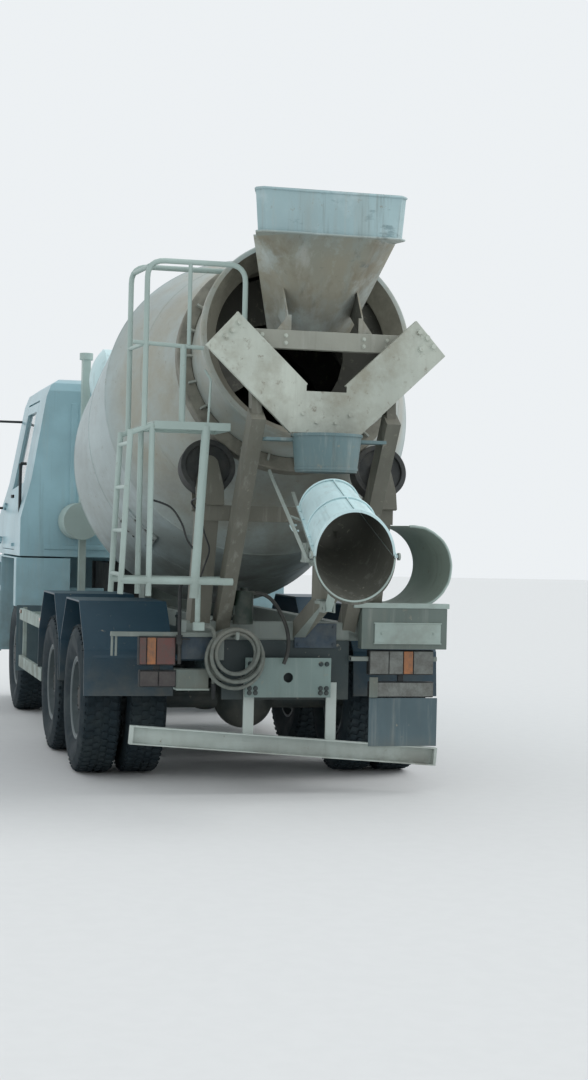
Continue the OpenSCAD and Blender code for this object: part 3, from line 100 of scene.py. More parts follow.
# Hopper: heights of its rim and of the fold under its collar
HOPPER_RIM_Z = 3806
HOPPER_FOLD_Z = 3545
# Mixer frame: the cross beam is over the struts, which stand on the sub-frame
BEAM_Z = 2840
STRUT_Z = 1135
STRUT_FRONT = -1150
FRAME_Y = 430


def station(s, y, z):
    """A point from part.scad's stations, in millimetres, as a point of the row frame."""
    return Vector((REAR_AXLE_X + s / 1000, y / 1000, z / 1000))


def stations(points):
    return [station(*p) for p in points]


# Settings


class FinishSettings(bpy.types.PropertyGroup):
    """Colours and wear of the truck's finishes"""

    cab_colour: FloatVectorProperty(
        name="Cab", description="Paint of the cab", subtype="COLOR", size=3, default=(0.28, 0.45, 0.50))
    drum_colour: FloatVectorProperty(
        name="Drum", description="Paint of the drum", subtype="COLOR", size=3, default=(0.36, 0.44, 0.445))
    hopper_colour: FloatVectorProperty(
        name="Hopper", description="Paint of the hopper's collar", subtype="COLOR", size=3,
        default=(0.33, 0.46, 0.48))
    guard_colour: FloatVectorProperty(
        name="Mudguards", description="Paint of the mudguards", subtype="COLOR", size=3,
        default=(0.009, 0.042, 0.068))
    cement_colour: FloatVectorProperty(
        name="Cement", description="Dried cement", subtype="COLOR", size=3, default=(0.26, 0.25, 0.205))
    dust: FloatProperty(
        name="Dust", description="Share of the surfaces under dried cement and dirt", subtype="FACTOR",
        min=0.0, max=1.0, default=0.5)


class ShapeSettings(bpy.types.PropertyGroup):
    """Fineness of turned pieces and size of their small features"""

    drum_steps: IntProperty(
        name="Drum steps", description="Steps round the drum", min=48, max=256, default=128)
    tyre_steps: IntProperty(
        name="Tyre steps", description="Steps round a tyre", min=48, max=144, default=80)
    edge_scale: FloatProperty(
        name="Edge rounding", description="Scale of the rounding of folded and cut edges",
        min=0.2, max=1.0, default=1.0)
    lug_count: IntProperty(
        name="Tread blocks", description="Tread blocks round a tyre", min=30, max=90, default=54)


# Materials


class Paint:
    """A new material, with the masks and layers that finishes are made of, in the piece's own space."""

    def __init__(self, name):
        self.made = bpy.data.materials.new(name)
        self.made.use_nodes = True
        self.tree = self.made.node_tree
        self.shader = self.tree.nodes["Principled BSDF"]
        self.place = self.tree.nodes.new("ShaderNodeTexCoord").outputs["Object"]

    def join(self, socket, value):
        if isinstance(value, bpy.types.NodeSocket):
            self.tree.links.new(value, socket)
        else:
            socket.default_value = value

    def node(self, kind, inputs, **settings):
        """A new node; each input is a value, or another node's output."""
        made = self.tree.nodes.new("ShaderNode" + kind)
        for name, value in settings.items():
            setattr(made, name, value)
        for name, value in inputs.items():
            self.join(made.inputs[name], value)
        return made

    def shade(self, name, value):
        """Gives the shader one input, as a value or another node's output."""
        self.join(self.shader.inputs[name], value)

    def grain(self, scale, detail=4.0, rough=0.55, squash=None):
        """Noise from 0 to 1."""
        place = self.place
        if squash:
            place = self.node("Mapping", {"Vector": place, "Scale": squash}).outputs[0]
        return self.node("TexNoise", {"Vector": place, "Scale": scale, "Detail": detail,
                                      "Roughness": rough}).outputs[0]

    def ramp(self, source, low, high):
        """A mask that is 0 where the source is low and 1 where it is high."""
        return self.node("MapRange", {"Value": source, "From Min": low, "From Max": high}).outputs[0]

    def below(self, low, high):
        """1 at or below low, 0 at or above high, in metres above the ground."""
        return self.ramp(self.node("SeparateXYZ", {"Vector": self.place}).outputs["Z"], high, low)

    def along_drum(self, near, far):
        """1 at or nearer the mouth than near, 0 at or past far, in metres along the drum's axis."""
        axis = Vector((math.cos(DRUM_TILT), 0, -math.sin(DRUM_TILT)))
        start = station(*DRUM_MOUTH).dot(axis)
        measure = self.node("VectorMath", {0: self.place, 1: axis}, operation="DOT_PRODUCT")
        return self.ramp(measure.outputs["Value"], start + far, start + near)

    def smears(self, scale, low, high, squash=None):
        """Large uneven patches."""
        return self.ramp(self.grain(scale, 6, 0.68, squash), low, high)

    def smears_below(self, height, scale, low, high, squash=None):
        """Large uneven patches under a height only."""
        return self.times(self.below(height - 0.02, height + 0.02), self.smears(scale, low, high, squash))

    def times(self, mask, other):
        return self.node("Math", {0: mask, 1: other}, operation="MULTIPLY", use_clamp=True).outputs[0]

    def either(self, mask, other):
        return self.node("Math", {0: mask, 1: other}, operation="MAXIMUM").outputs[0]

    def layer(self, under, colour, mask):
        """Colour laid over a colour or layer, where the mask is 1."""
        if not isinstance(under, bpy.types.NodeSocket):
            under = (*under, 1)
        return self.node("Mix", {6: under, 7: (*colour, 1), 0: mask}, data_type="RGBA").outputs[2]

    def bump(self, source, strength, distance):
        made = self.node("Bump", {"Strength": strength, "Distance": distance, "Height": source})
        self.shade("Normal", made.outputs[0])

    def roughness(self, source, low, high):
        made = self.node("MapRange", {"Value": source, "To Min": low, "To Max": high})
        self.shade("Roughness", made.outputs[0])


def scaled(colour, factor):
    return tuple(c * factor for c in colour)


# Streaks down a wall, with their colour, or None for half paint and half cement:
# colour, share, noise scale, detail, roughness and squash, and the ramp's ends
STREAKS = (
    (None, 0.55, 9, 4, 0.6, 0.10, 0.52, 0.74),
    ((0.42, 0.44, 0.40), 0.40, 17, 5, 0.65, 0.07, 0.56, 0.72),
    ((0.085, 0.070, 0.045), 0.45, 13, 5, 0.7, 0.05, 0.58, 0.75),
)
RUST = (0.13, 0.055, 0.025)


def worn_paint(name, colour, cement, dust, low, high, rust, gloss, streaks, lower=None, crusts_and_shade=()):
    """Paint that fades in patches, with mud between two heights, cement in spots and rust at chips.

    lower is another colour and the height it ends at; the layers after it are colours, their masks and strengths,
    of crusts and stains and, on the drum, of painted shade mixed with low dirt."""
    p = Paint(name)
    faded = tuple(min(1, c * 1.18 + 0.01) for c in colour)
    shade = p.layer(colour, faded, p.ramp(p.grain(1.7, 5), 0.40, 0.66))
    if lower:
        shade = p.layer(shade, lower[0], p.below(lower[1] - 0.012, lower[1] + 0.012))
    shade = p.layer(shade, scaled(colour, 0.62), p.times(p.ramp(p.grain(0.9, 3), 0.52, 0.75), 0.55))
    # Crusts and stains; on the drum also painted shade, darker towards its bottom
    for crust, reach, strength in crusts_and_shade:
        cover = p.times(reach(p), p.ramp(p.grain(2.4, 7, 0.68), 0.24, 0.60))
        shade = p.layer(shade, crust, p.times(cover, strength))
    if streaks:
        mixed = tuple(0.5 * c + 0.5 * d for c, d in zip(colour, cement))
        for streak, share, scale, detail, rough, squash, start, end in STREAKS:
            runs = p.ramp(p.grain(scale, detail, rough, (1, 1, squash)), start, end)
            shade = p.layer(shade, streak or mixed, p.times(runs, share * streaks))
    spots = p.ramp(p.grain(21, 6, 0.7), 0.70 - 0.20 * dust, 0.76 - 0.14 * dust)
    shade = p.layer(shade, cement, p.times(spots, 0.85))
    mud = p.times(p.below(low, high), p.ramp(p.grain(5, 6, 0.6), 0.30, 0.62))
    shade = p.layer(shade, scaled(cement, 0.62), p.times(mud, 0.55 + 0.45 * dust))
    chips = p.ramp(p.grain(34, 7, 0.75), 0.715 - 0.06 * rust, 0.735 - 0.06 * rust)
    p.shade("Base Color", p.layer(shade, RUST, p.times(chips, min(1.0, 3 * rust))))
    p.roughness(p.either(spots, mud), gloss, 0.86)
    p.bump(p.grain(46, 6, 0.6), 0.22, 0.004)
    return p.made


def plain_finish(name, colour, rough, metal=0.0, vary=0.35, scale=14.0, bump=0.15, grime=(0.10, 0.095, 0.08)):
    """A finish with an even base, darker and dirtier patches and a fine bump."""
    p = Paint(name)
    base = p.layer(colour, scaled(colour, 1 - vary), p.ramp(p.grain(scale, 5), 0.38, 0.68))
    p.shade("Base Color", p.layer(base, grime, p.times(p.ramp(p.grain(4.3, 6, 0.65), 0.47, 0.70), 0.6)))
    p.shade("Metallic", metal)
    p.roughness(p.ramp(p.grain(9, 5), 0.35, 0.7), rough, min(1.0, rough + 0.2))
    p.bump(p.grain(60, 5, 0.6), bump, 0.003)
    return p.made


def clear_glass(name, tint):
    """Window glass with a film of dust."""
    p = Paint(name)
    film = p.times(p.ramp(p.grain(3, 6, 0.7), 0.42, 0.78), 0.35)
    p.shade("Base Color", p.layer(tint, (0.30, 0.31, 0.29), film))
    p.shade("Roughness", 0.04)
    p.shade("IOR", 1.45)
    p.shade("Transmission Weight", 0.92)
    return p.made


def lens(name, colour):
    """Ribbed lamp plastic with road dirt."""
    p = Paint(name)
    dirt = p.times(p.ramp(p.grain(12, 6, 0.7), 0.38, 0.66), 0.75)
    p.shade("Base Color", p.layer(colour, (0.055, 0.050, 0.042), dirt))
    p.shade("Roughness", 0.22)
    p.shade("Coat Weight", 0.4)
    ribs = p.node("TexWave", {"Vector": p.place, "Scale": 38}, bands_direction="Z")
    p.bump(ribs.outputs[0], 0.3, 0.002)
    return p.made


# Crusts, stains and painted shade over some paints: colour, where it lies and how strong it is
CRUSTS_AND_SHADE = {
    "drum": (
        ((0.33, 0.325, 0.265), lambda p: p.along_drum(1.15, 1.42), 0.95),
        ((0.24, 0.27, 0.265), lambda p: p.smears(0.8, 0.50, 0.66, (0.5, 1, 2)), 0.6),
        # Partly painted shade and partly low dirt: the drum darker towards its bottom
        ((0.17, 0.175, 0.145), lambda p: p.below(1.35, 2.45), 0.85),
        ((0.065, 0.085, 0.075), lambda p: p.below(1.00, 1.75), 0.97)),
    "hopper": (
        ((0.55, 0.66, 0.68), lambda p: p.smears(2.1, 0.50, 0.60), 0.55),
        ((0.15, 0.11, 0.06), lambda p: p.smears_below(3.53, 2.6, 0.50, 0.64, (1, 1, 0.35)), 0.65),
        ((0.45, 0.46, 0.42), lambda p: p.smears_below(3.53, 4.4, 0.55, 0.66, (1, 1, 0.2)), 0.7),
        ((0.05, 0.10, 0.115), lambda p: p.smears(3.4, 0.60, 0.66, (1, 1, 2.4)), 0.7)),
    "cement": (
        ((0.22, 0.195, 0.135), lambda p: p.smears(1.9, 0.50, 0.63), 0.7),
        ((0.56, 0.60, 0.55), lambda p: p.smears(3.3, 0.55, 0.66), 0.6)),
    "lining": (
        ((0.30, 0.29, 0.235), lambda p: p.along_drum(0.25, 0.90), 1.0),),
}
# Paints that have another colour low down, and the height where it ends
LOWER = {"hopper": ((0.31, 0.30, 0.235), HOPPER_FOLD_Z / 1000)}


def make_finishes():
    """Every finish of the truck, by name."""
    s = bpy.context.scene.mixer_finish
    # Material, colour, share of the dust, heights where mud starts to thin and ends, rust, gloss, streaks
    worn = {
        "cab": ("cab_paint", s.cab_colour, 0.2, 0.6, 1.5, 0.10, 0.30, 0.5),
        "drum": ("drum_paint", s.drum_colour, 0.8, 0.6, 1.2, 0.12, 0.45, 0.3),
        "hopper": ("hopper_paint", s.hopper_colour, 0.7, 2.9, 3.4, 0.2, 0.5, 1.0),
        "cement": ("cement_plate", (0.46, 0.50, 0.44), 1.1, 2.2, 2.6, 0.18, 0.6, 0.8),
        "white": ("white_chute", (0.53, 0.70, 0.72), 0.4, 1.5, 1.75, 0.14, 0.4, 0.6),
        "swivel": ("swivel_paint", (0.24, 0.28, 0.255), 0.8, 0.9, 1.3, 0.3, 0.5, 0.5),
        "grey": ("grey_frame", (0.20, 0.235, 0.215), 0.9, 0.3, 1.0, 0.3, 0.5, 0.5),
        "beam": ("beam_paint", (0.44, 0.50, 0.47), 0.7, 0.2, 0.4, 0.25, 0.5, 0.4),
        "tail": ("tail_paint", (0.17, 0.24, 0.225), 0.7, 0.3, 0.7, 0.25, 0.5, 0.5),
        "box": ("box_paint", (0.11, 0.145, 0.13), 0.7, 0.7, 1.1, 0.3, 0.5, 0.6),
        "dark": ("chassis_paint", (0.014, 0.030, 0.032), 0.6, 0.3, 0.8, 0.3, 0.5, 0.0),
        "mudguard": ("mudguard_paint", s.guard_colour, 0.5, 0.55, 0.9, 0.12, 0.42, 0.0),
        "collector": ("collector_paint", (0.10, 0.165, 0.175), 1.0, 2.0, 2.2, 0.2, 0.5, 0.8),
        "strut": ("strut_paint", (0.12, 0.12, 0.095), 0.8, 0.4, 1.6, 0.35, 0.55, 0.7),
        "ladder": ("ladder_paint", (0.34, 0.43, 0.40), 0.5, 0.6, 2.0, 0.2, 0.45, 0.0),
        "lining": ("drum_lining", (0.075, 0.07, 0.055), 0.8, 0.1, 0.2, 0.4, 0.7, 0.0),
        "crust": ("cement_crust", (0.070, 0.072, 0.058), 0.8, 0.1, 0.2, 0.3, 0.75, 0.5),
        "cross": ("cross_beam_paint", (0.29, 0.30, 0.255), 0.8, 0.4, 1.6, 0.25, 0.55, 0.8),
        "slate": ("slate_rubber", (0.065, 0.105, 0.120), 0.5, 0.2, 0.4, 0.1, 0.6, 0.5),
        "blades": ("blade_plate", (0.09, 0.09, 0.075), 1.2, 0.1, 0.2, 0.5, 0.6, 0.0),
        "spare": ("spare_chute", (0.29, 0.36, 0.31), 0.9, 1.0, 1.3, 0.3, 0.6, 0.7),
        "rim": ("rim_paint", (0.09, 0.115, 0.12), 0.8, 0.1, 0.2, 0.4, 0.5, 0.0),
    }
    # Material, colour, roughness, metal, share of dark patches, their scale, bump, grime
    plain = {
        "ring": ("running_ring", (0.24, 0.235, 0.195), 0.5, 0.15, 0.4, 12, 0.15, (0.21, 0.20, 0.16)),
        "steel": ("rolling_steel", (0.20, 0.20, 0.19), 0.42, 0.75, 0.5, 20),
        "cast": ("cast_iron", (0.055, 0.060, 0.060), 0.62, 0.3),
        "rubber": ("tyre_rubber", (0.009, 0.022, 0.030), 0.75, 0.0, 0.3, 30, 0.25, (0.040, 0.055, 0.056)),
        "plastic": ("black_plastic", (0.016, 0.020, 0.022), 0.48, 0.0, 0.3, 30, 0.2, (0.05, 0.05, 0.045)),
        "hose": ("hose_rubber", (0.16, 0.18, 0.16), 0.6, 0.0, 0.3, 30, 0.15, (0.24, 0.23, 0.19)),
        "cable": ("cable_rubber", (0.012, 0.015, 0.016), 0.5, 0.0, 0.3, 30, 0.15, (0.06, 0.06, 0.05)),
        "cloth": ("seat_cloth", (0.060, 0.066, 0.075), 0.9, 0.0, 0.35, 160, 0.5, (0.07, 0.065, 0.06)),
        "green": ("green_paint", (0.008, 0.022, 0.014), 0.42),
        "panel": ("blue_panel", (0.025, 0.050, 0.075), 0.45, 0.0, 0.4, 9, 0.15, (0.10, 0.11, 0.10)),
        "mirror": ("mirror_glass", (0.75, 0.77, 0.78), 0.05, 1.0, 0.05, 6, 0.0, (0.4, 0.4, 0.38)),
    }
    made = {"glass": clear_glass("window_glass", (0.80, 0.86, 0.87))}
    for finish, (name, colour, share, *wear) in worn.items():
        made[finish] = worn_paint(name, tuple(colour), tuple(s.cement_colour), share * s.dust, *wear,
                                  LOWER.get(finish), CRUSTS_AND_SHADE.get(finish, ()))
    for finish, row in plain.items():
        made[finish] = plain_finish(*row)
    for finish, colour in (("red", (0.12, 0.032, 0.024)), ("amber", (0.36, 0.13, 0.035)),
                           ("clear", (0.16, 0.175, 0.16)), ("smoked", (0.026, 0.018, 0.018))):
        made[finish] = lens(finish + "_lens", colour)
    return made


FINISH = {}

# CAD nodes that are shown or copied in each finish
NODES_IN = {
    "cab": "bumper wings cab_shell door_left door_right",
    "dark": "frame cross_members front_axle rear_axles",
    "tail": "tail_plate",
    "cast": "engine drum_drive roller_left roller_right knuckle_left knuckle_right",
    "grey": "side_tanks mixer_frame",
    "ladder": "side_guards intake_stack access_ladder prop_barrel",
    "mudguard": "mudguards",
    "red": "lamps",
    "beam": "underrun_beam",
    "hopper": "hopper",
    "cement": "side_chutes",
    "collector": "collector",
    "white": "water_tank chute_extension",
    "spare": "spare_chutes",
    "box": "toolbox",
    "green": "wash_flask",
    "hose": "hose_coil hose_tail drain_hose",
    "glass": "windscreen door_glass_left door_glass_right",
    "plastic": "grille dashboard mirrors",
    "cloth": "seats",
    "drum": "drum_shell",
    "steel": "drum_ring drum_blades prop_rod",
    "swivel": "chute_swivel main_chute",
    "rubber": " ".join("wheel_%s_%s" % (axle, side) for axle in AXLES for side, sign in SIDES),
}
NODE_FINISH = {node: finish for finish, nodes in NODES_IN.items() for node in nodes.split()}


# Making pieces


def rounded(piece, width, segments=2):
    """Rounds a piece's sharp edges by a bevel."""
    made = piece.modifiers.new("edges", "BEVEL")
    made.width = width * bpy.context.scene.mixer_shape.edge_scale
    made.segments = segments
    made.limit_method = "ANGLE"
    made.angle_limit = 0.6
    made.harden_normals = True
    return piece


def ridden(name, data, finish, replaced, body):
    """An object in a finish that rides on a body and stands for nodes."""
    piece = bpy.data.objects.new(name, data)
    bpy.context.scene.collection.objects.link(piece)
    data.materials.append(FINISH[finish])
    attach(piece, body)
    if replaced:
        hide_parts(*replaced)
    return piece


def add_piece(bm, name, finish, edge=None, replaced=(), body="chassis", smooth=0.6, segments=2):
    """Turns a bmesh into a piece; edge is the width that its edges are rounded by, if any."""
    bmesh.ops.recalc_face_normals(bm, faces=bm.faces)
    mesh = bpy.data.meshes.new(name)
    bm.to_mesh(mesh)
    bm.free()
    piece = ridden(name, mesh, finish, replaced, body)
    mesh.shade_smooth()
    mesh.set_sharp_from_angle(angle=smooth)
    return rounded(piece, edge, segments) if edge else piece


def copy_of(node, keep=None):
    """A merged bmesh copy of a CAD node; keep chooses its faces."""
    bm = bmesh.new()
    bm.from_mesh(NODES[node].data)
    bmesh.ops.remove_doubles(bm, verts=bm.verts, dist=0.00002)
    if keep:
        lost = [f for f in bm.faces if not keep(f)]
        bmesh.ops.delete(bm, geom=lost, context="FACES")
    bmesh.ops.dissolve_limit(
        bm, angle_limit=0.02, use_dissolve_boundaries=False, verts=bm.verts, edges=bm.edges)
    return bm


def dressed(node, edge, segments=2, smooth=0.6, finish=None, name=None, keep=None):
    """A copy of a CAD node, or of the faces that keep accepts, which stands for the node."""
    return add_piece(copy_of(node, keep), name or node + "_dressed", finish or NODE_FINISH[node],
                     edge, (node,), BODY_OF[node], smooth, segments)


def lined(piece, place, finish):
    """A second finish on the faces of a hollow piece that look towards the X axis of a place."""
    back = place.inverted()
    piece.data.materials.append(FINISH[finish])
    for face in piece.data.polygons:
        out = back @ face.center
        out.x = 0
        if (back.to_3x3() @ face.normal).dot(out.normalized()) < -0.3:
            face.material_index = 1
    return piece


def turned(outline, steps, closed=False):
    """A bmesh of an outline of (radius, along) points spun about Z."""
    bm = bmesh.new()
    verts = [bm.verts.new((r, 0, h)) for r, h in outline]
    edges = [bm.edges.new((a, b)) for a, b in zip(verts, verts[1:])]
    if closed:
        edges.append(bm.edges.new((verts[-1], verts[0])))
    bmesh.ops.spin(
        bm, geom=verts + edges, cent=(0, 0, 0), axis=(0, 0, 1), angle=math.tau, steps=steps,
        use_merge=True, use_normal_flip=False, use_duplicate=False)
    bmesh.ops.remove_doubles(bm, verts=bm.verts, dist=0.00005)
    return bm


def turned_mm(outline, steps, closed=False):
    """As turned, from an outline in millimetres."""
    return turned([(r / 1000, h / 1000) for r, h in outline], steps, closed)


def place_all(bm, matrix):
    bmesh.ops.transform(bm, matrix=matrix, verts=bm.verts)
    return bm


def joined(parts):
    """One bmesh from several, which are freed."""
    whole = bmesh.new()
    for bm in parts:
        mesh = bpy.data.meshes.new("part")
        bm.to_mesh(mesh)
        bm.free()
        whole.from_mesh(mesh)
        bpy.data.meshes.remove(mesh)
    return whole


def box(bm, place, at, size, tilt=Matrix()):
    """Adds a box of a size, tilted about its middle at a point of a place, in metres."""
    matrix = place @ Matrix.Translation(at) @ tilt @ Matrix.Diagonal((*size, 1))
    return bmesh.ops.create_cube(bm, size=1, matrix=matrix)["verts"]


def block(bm, a, b):
    """Adds a box between two corners given as stations in millimetres."""
    low, high = station(*map(min, a, b)), station(*map(max, a, b))
    return box(bm, Matrix(), (low + high) / 2, high - low)


def rod(bm, a, b, radius, segments=16, end_radius=None):
    """Adds a round bar or cone between two points in metres."""
    v = b - a
    turn = v.to_track_quat("Z", "Y").to_matrix().to_4x4()
    return bmesh.ops.create_cone(
        bm, cap_ends=True, cap_tris=False, segments=segments, radius1=radius,
        radius2=radius if end_radius is None else end_radius, depth=v.length,
        matrix=Matrix.Translation((a + b) / 2) @ turn)["verts"]


BACK = (-1, 0, 0)


def bolts(bm, spots, outward=BACK, radius=0.012, height=0.011):
    """Adds a washer and a hexagon head at each spot, standing outward."""
    n = Vector(outward).normalized()
    for p in spots:
        rod(bm, p - n * 0.002, p + n * 0.003, radius * 1.35, 14)
        rod(bm, p + n * 0.002, p + n * height, radius, 6)


def bolt_circle(bm, place, circle_r, count, along, radius, height):
    """Adds bolts evenly round the Z axis of a place, standing along it."""
    angles = (math.tau * k / count for k in range(count))
    spots = [place @ Vector((circle_r * math.cos(a), circle_r * math.sin(a), along)) for a in angles]
    bolts(bm, spots, place.to_3x3() @ Vector((0, 0, 1)), radius, height)


def corner_path(points, radius, steps=6):
    """A path through the points with its inner corners rounded."""
    out = [points[0]]
    for a, b, c in zip(points, points[1:], points[2:]):
        u, v = (a - b).normalized(), (c - b).normalized()
        half = u.angle(v) / 2
        cut = min(radius / math.tan(half), (a - b).length * 0.49, (c - b).length * 0.49)
        p, q = b + u * cut, b + v * cut
        for i in range(steps + 1):
            t = i / steps
            out.append(p * (1 - t) ** 2 + b * 2 * t * (1 - t) + q * t * t)
    out.append(points[-1])
    return out


def smooth_route(points, between=4):
    """Points on a smooth curve through the given ones."""
    out = []
    for i in range(len(points) - 1):
        p0 = points[max(i - 1, 0)]
        p1, p2 = points[i], points[i + 1]
        p3 = points[min(i + 2, len(points) - 1)]
        for k in range(between):
            t = k / between
            out.append(0.5 * (2 * p1 + (p2 - p0) * t + (2 * p0 - 5 * p1 + 4 * p2 - p3) * t * t
                              + (3 * p1 - p0 - 3 * p2 + p3) * t ** 3))
    out.append(points[-1])
    return out


def tube(name, points, diameter, finish, replaced=(), body="chassis", closed=False, fineness=4):
    """A bent tube along points in metres; its diameter is in millimetres."""
    curve = bpy.data.curves.new(name, "CURVE")
    curve.dimensions = "3D"
    curve.bevel_depth = diameter / 2000
    curve.bevel_resolution = fineness
    curve.use_fill_caps = True
    line = curve.splines.new("POLY")
    line.points.add(len(points) - 1)
    line.use_cyclic_u = closed
    for spot, at in zip(line.points, points):
        spot.co = (*at, 1)
    return ridden(name, curve, finish, replaced, body)


# Operators


class MIXER_OT_stage(bpy.types.Operator):
    """Floor, soft light and the camera at the photo's viewing angle"""

    bl_idname = "mixer.stage"
    bl_label = "Stage"

    def execute(self, context):
        scene = context.scene
        scene.view_settings.view_transform = "Standard"
        bm = bmesh.new()
        bmesh.ops.create_grid(bm, x_segments=4, y_segments=4, size=60)
        mesh = bpy.data.meshes.new("floor")
        bm.to_mesh(mesh)
        bm.free()
        floor = bpy.data.objects.new("floor", mesh)
        scene.collection.objects.link(floor)
        pale = Paint("pale_floor")
        patchy = pale.layer((0.66, 0.67, 0.67), (0.65, 0.66, 0.66), pale.ramp(pale.grain(9), 0.4, 0.6))
        pale.shade("Base Color", patchy)
        pale.shade("Roughness", 0.9)
        mesh.materials.append(pale.made)
        world = bpy.data.worlds.new("sky")
        world.use_nodes = True
        scene.world = world
        back = world.node_tree.nodes["Background"]
        back.inputs["Color"].default_value = (0.94, 0.975, 1.0, 1)
        back.inputs["Strength"].default_value = 0.90
        lamp = bpy.data.lights.new("soft_sun", "SUN")
        lamp.energy = 1.2
        lamp.angle = 0.7
        sun = bpy.data.objects.new("soft_sun", lamp)
        sun.rotation_euler = (math.radians(38), math.radians(-22), math.radians(20))
        scene.collection.objects.link(sun)
        lens_data = bpy.data.cameras.new("camera")
        lens_data.sensor_fit = "VERTICAL"
        lens_data.sensor_height = SENSOR
        lens_data.lens = SENSOR * PHOTO_FOCAL / PHOTO_H
        lens_data.clip_end = 200
        camera = bpy.data.objects.new("camera", lens_data)
        scene.collection.objects.link(camera)
        ahead = Vector((
            math.cos(CAMERA_TURN) * math.cos(CAMERA_PITCH),
            -math.sin(CAMERA_TURN) * math.cos(CAMERA_PITCH),
            math.sin(CAMERA_PITCH)))
        level = Vector((-math.sin(CAMERA_TURN), -math.cos(CAMERA_TURN), 0))
        above = level.cross(ahead)
        right = math.cos(CAMERA_ROLL) * level + math.sin(CAMERA_ROLL) * above
        up = math.cos(CAMERA_ROLL) * above - math.sin(CAMERA_ROLL) * level
        turn = Matrix((right, up, -ahead)).transposed().to_4x4()
        camera.matrix_world = Matrix.Translation(station(*CAMERA_AT)) @ turn
        scene.camera = camera
        return {"FINISHED"}


class MIXER_OT_finishes(bpy.types.Operator):
    """Finishes on every CAD node that is shown"""

    bl_idname = "mixer.finishes"
    bl_label = "Finishes"

    def execute(self, context):
        FINISH.update(make_finishes())
        for node, finish in NODE_FINISH.items():
            mesh = NODES[node].data
            mesh.materials.clear()
            mesh.materials.append(FINISH[finish])
        return {"FINISHED"}


# Hoses: the same points as in part.scad, in millimetres
HOSE_D = 26
TAIL_ROUTE = [
    (-1350, 502, 930), (-1351, 502, 965), (-1355, 504, 1000), (-1363, 510, 1034), (-1376, 521, 1064),
    (-1393, 536, 1088), (-1409, 555, 1103), (-1420, 577, 1107), (-1420, 598, 1107)]
DRAIN_ROUTE = [
    (-1292, 233.7, 1318), (-1292, 205, 1318), (-1298, 168, 1308), (-1310, 130, 1282), (-1321, 98, 1243),
    (-1331, 70, 1196), (-1338, 45, 1142), (-1341, 26, 1085), (-1342, 15, 1025), (-1342, 15, 965),
    (-1342, 26, 910), (-1342, 44, 862)]
# Coil: its centre, turns in all and in its outer layer, points a turn, and the layers' radii in diameters
COIL_AT = (-1350, 370, 930)
COIL_TURNS = 5
COIL_OUTER_TURNS = 3.5
COIL_STEPS = 32
COIL_OUTER_R = 6.0
COIL_INNER_R = 5.08
# How far the outer turns hang down, in metres
COIL_SAG = 0.036
# Free end, which hangs from the coil's first turn
END_ROUTE = [(-1306, 500, 700), (-1306, 503, 760), (-1304, 512, 820), (-1300, 522, 880)]


def hose(name, points, finish, stands_for, **how):
    """A rubber hose as a tube."""
    piece = tube(name, points, HOSE_D, finish, (stands_for,), fineness=5)


def coil_points():
    """The coil's turns: the outer ones run to the back a diameter apart, the inner ones return under them."""
    centre = station(*COIL_AT)
    d = HOSE_D / 1000
    points = []
    for i in range(COIL_TURNS * COIL_STEPS + 1):
        turn = i / COIL_STEPS
        if turn < COIL_OUTER_TURNS:
            across = 2.0 - turn
            loose = COIL_SAG * math.sin(math.pi * turn / COIL_OUTER_TURNS) ** 2
        else:
            across = turn - COIL_OUTER_TURNS - 1.5
            loose = 0
        step = min(1, max(0, (turn - COIL_OUTER_TURNS + 0.15) / 0.3))
        r = COIL_OUTER_R + (COIL_INNER_R - COIL_OUTER_R) * step * step * (3 - 2 * step)
        a = math.tau * (turn - COIL_TURNS)
        around = r * d + loose
        points.append(centre + Vector((across * d, around * math.cos(a), around * math.sin(a) - loose)))
    return points


class MIXER_OT_hoses(bpy.types.Operator):
    """Hose coil on its hook, its tail to the valve, and the hanging drain hose"""

    bl_idname = "mixer.hoses"
    bl_label = "Hoses"

    def execute(self, context):
        tail = smooth_route(stations(TAIL_ROUTE))
        hose("hose_tail_line", tail, "hose", "hose_tail", exit=tail[-1], far_end="object", lay="taut")
        drain = smooth_route(stations(DRAIN_ROUTE))
        hose("drain_hose_line", drain, "cable", "drain_hose", exit=drain[0], far_end="bare", lay="hanging")
        turns = smooth_route(stations(END_ROUTE), 2) + coil_points()
        bm = bmesh.new()
        low = turns[0]
        rod(bm, low + Vector((0, 0, 0.03)), low - Vector((0, 0, 0.012)), 0.017, 20)
        rod(bm, low - Vector((0, 0, 0.010)), low - Vector((0, 0, 0.07)), 0.014, 20, 0.009)
        nozzle = add_piece(bm, "hose_nozzle", "cable", 0.001)
        hose("hose_coil_line", turns, "hose", "hose_coil", exit=turns[-1], far_end="fitting", lay="coiled",
             with_pieces=[nozzle])
        return {"FINISHED"}


def at_drum(u=0):
    """Places local +Z along the drum's axis, u millimetres in from the mouth."""
    return (Matrix.Translation(station(*DRUM_MOUTH)) @ Matrix.Rotation(math.pi / 2 + DRUM_TILT, 4, "Y")
            @ Matrix.Translation((0, 0, u / 1000)))


def round_drum(turn, u=0):
    """A place on the drum's axis, turned about it by a share of a full turn."""
    return at_drum(u) @ Matrix.Rotation(math.tau * turn, 4, "Z")


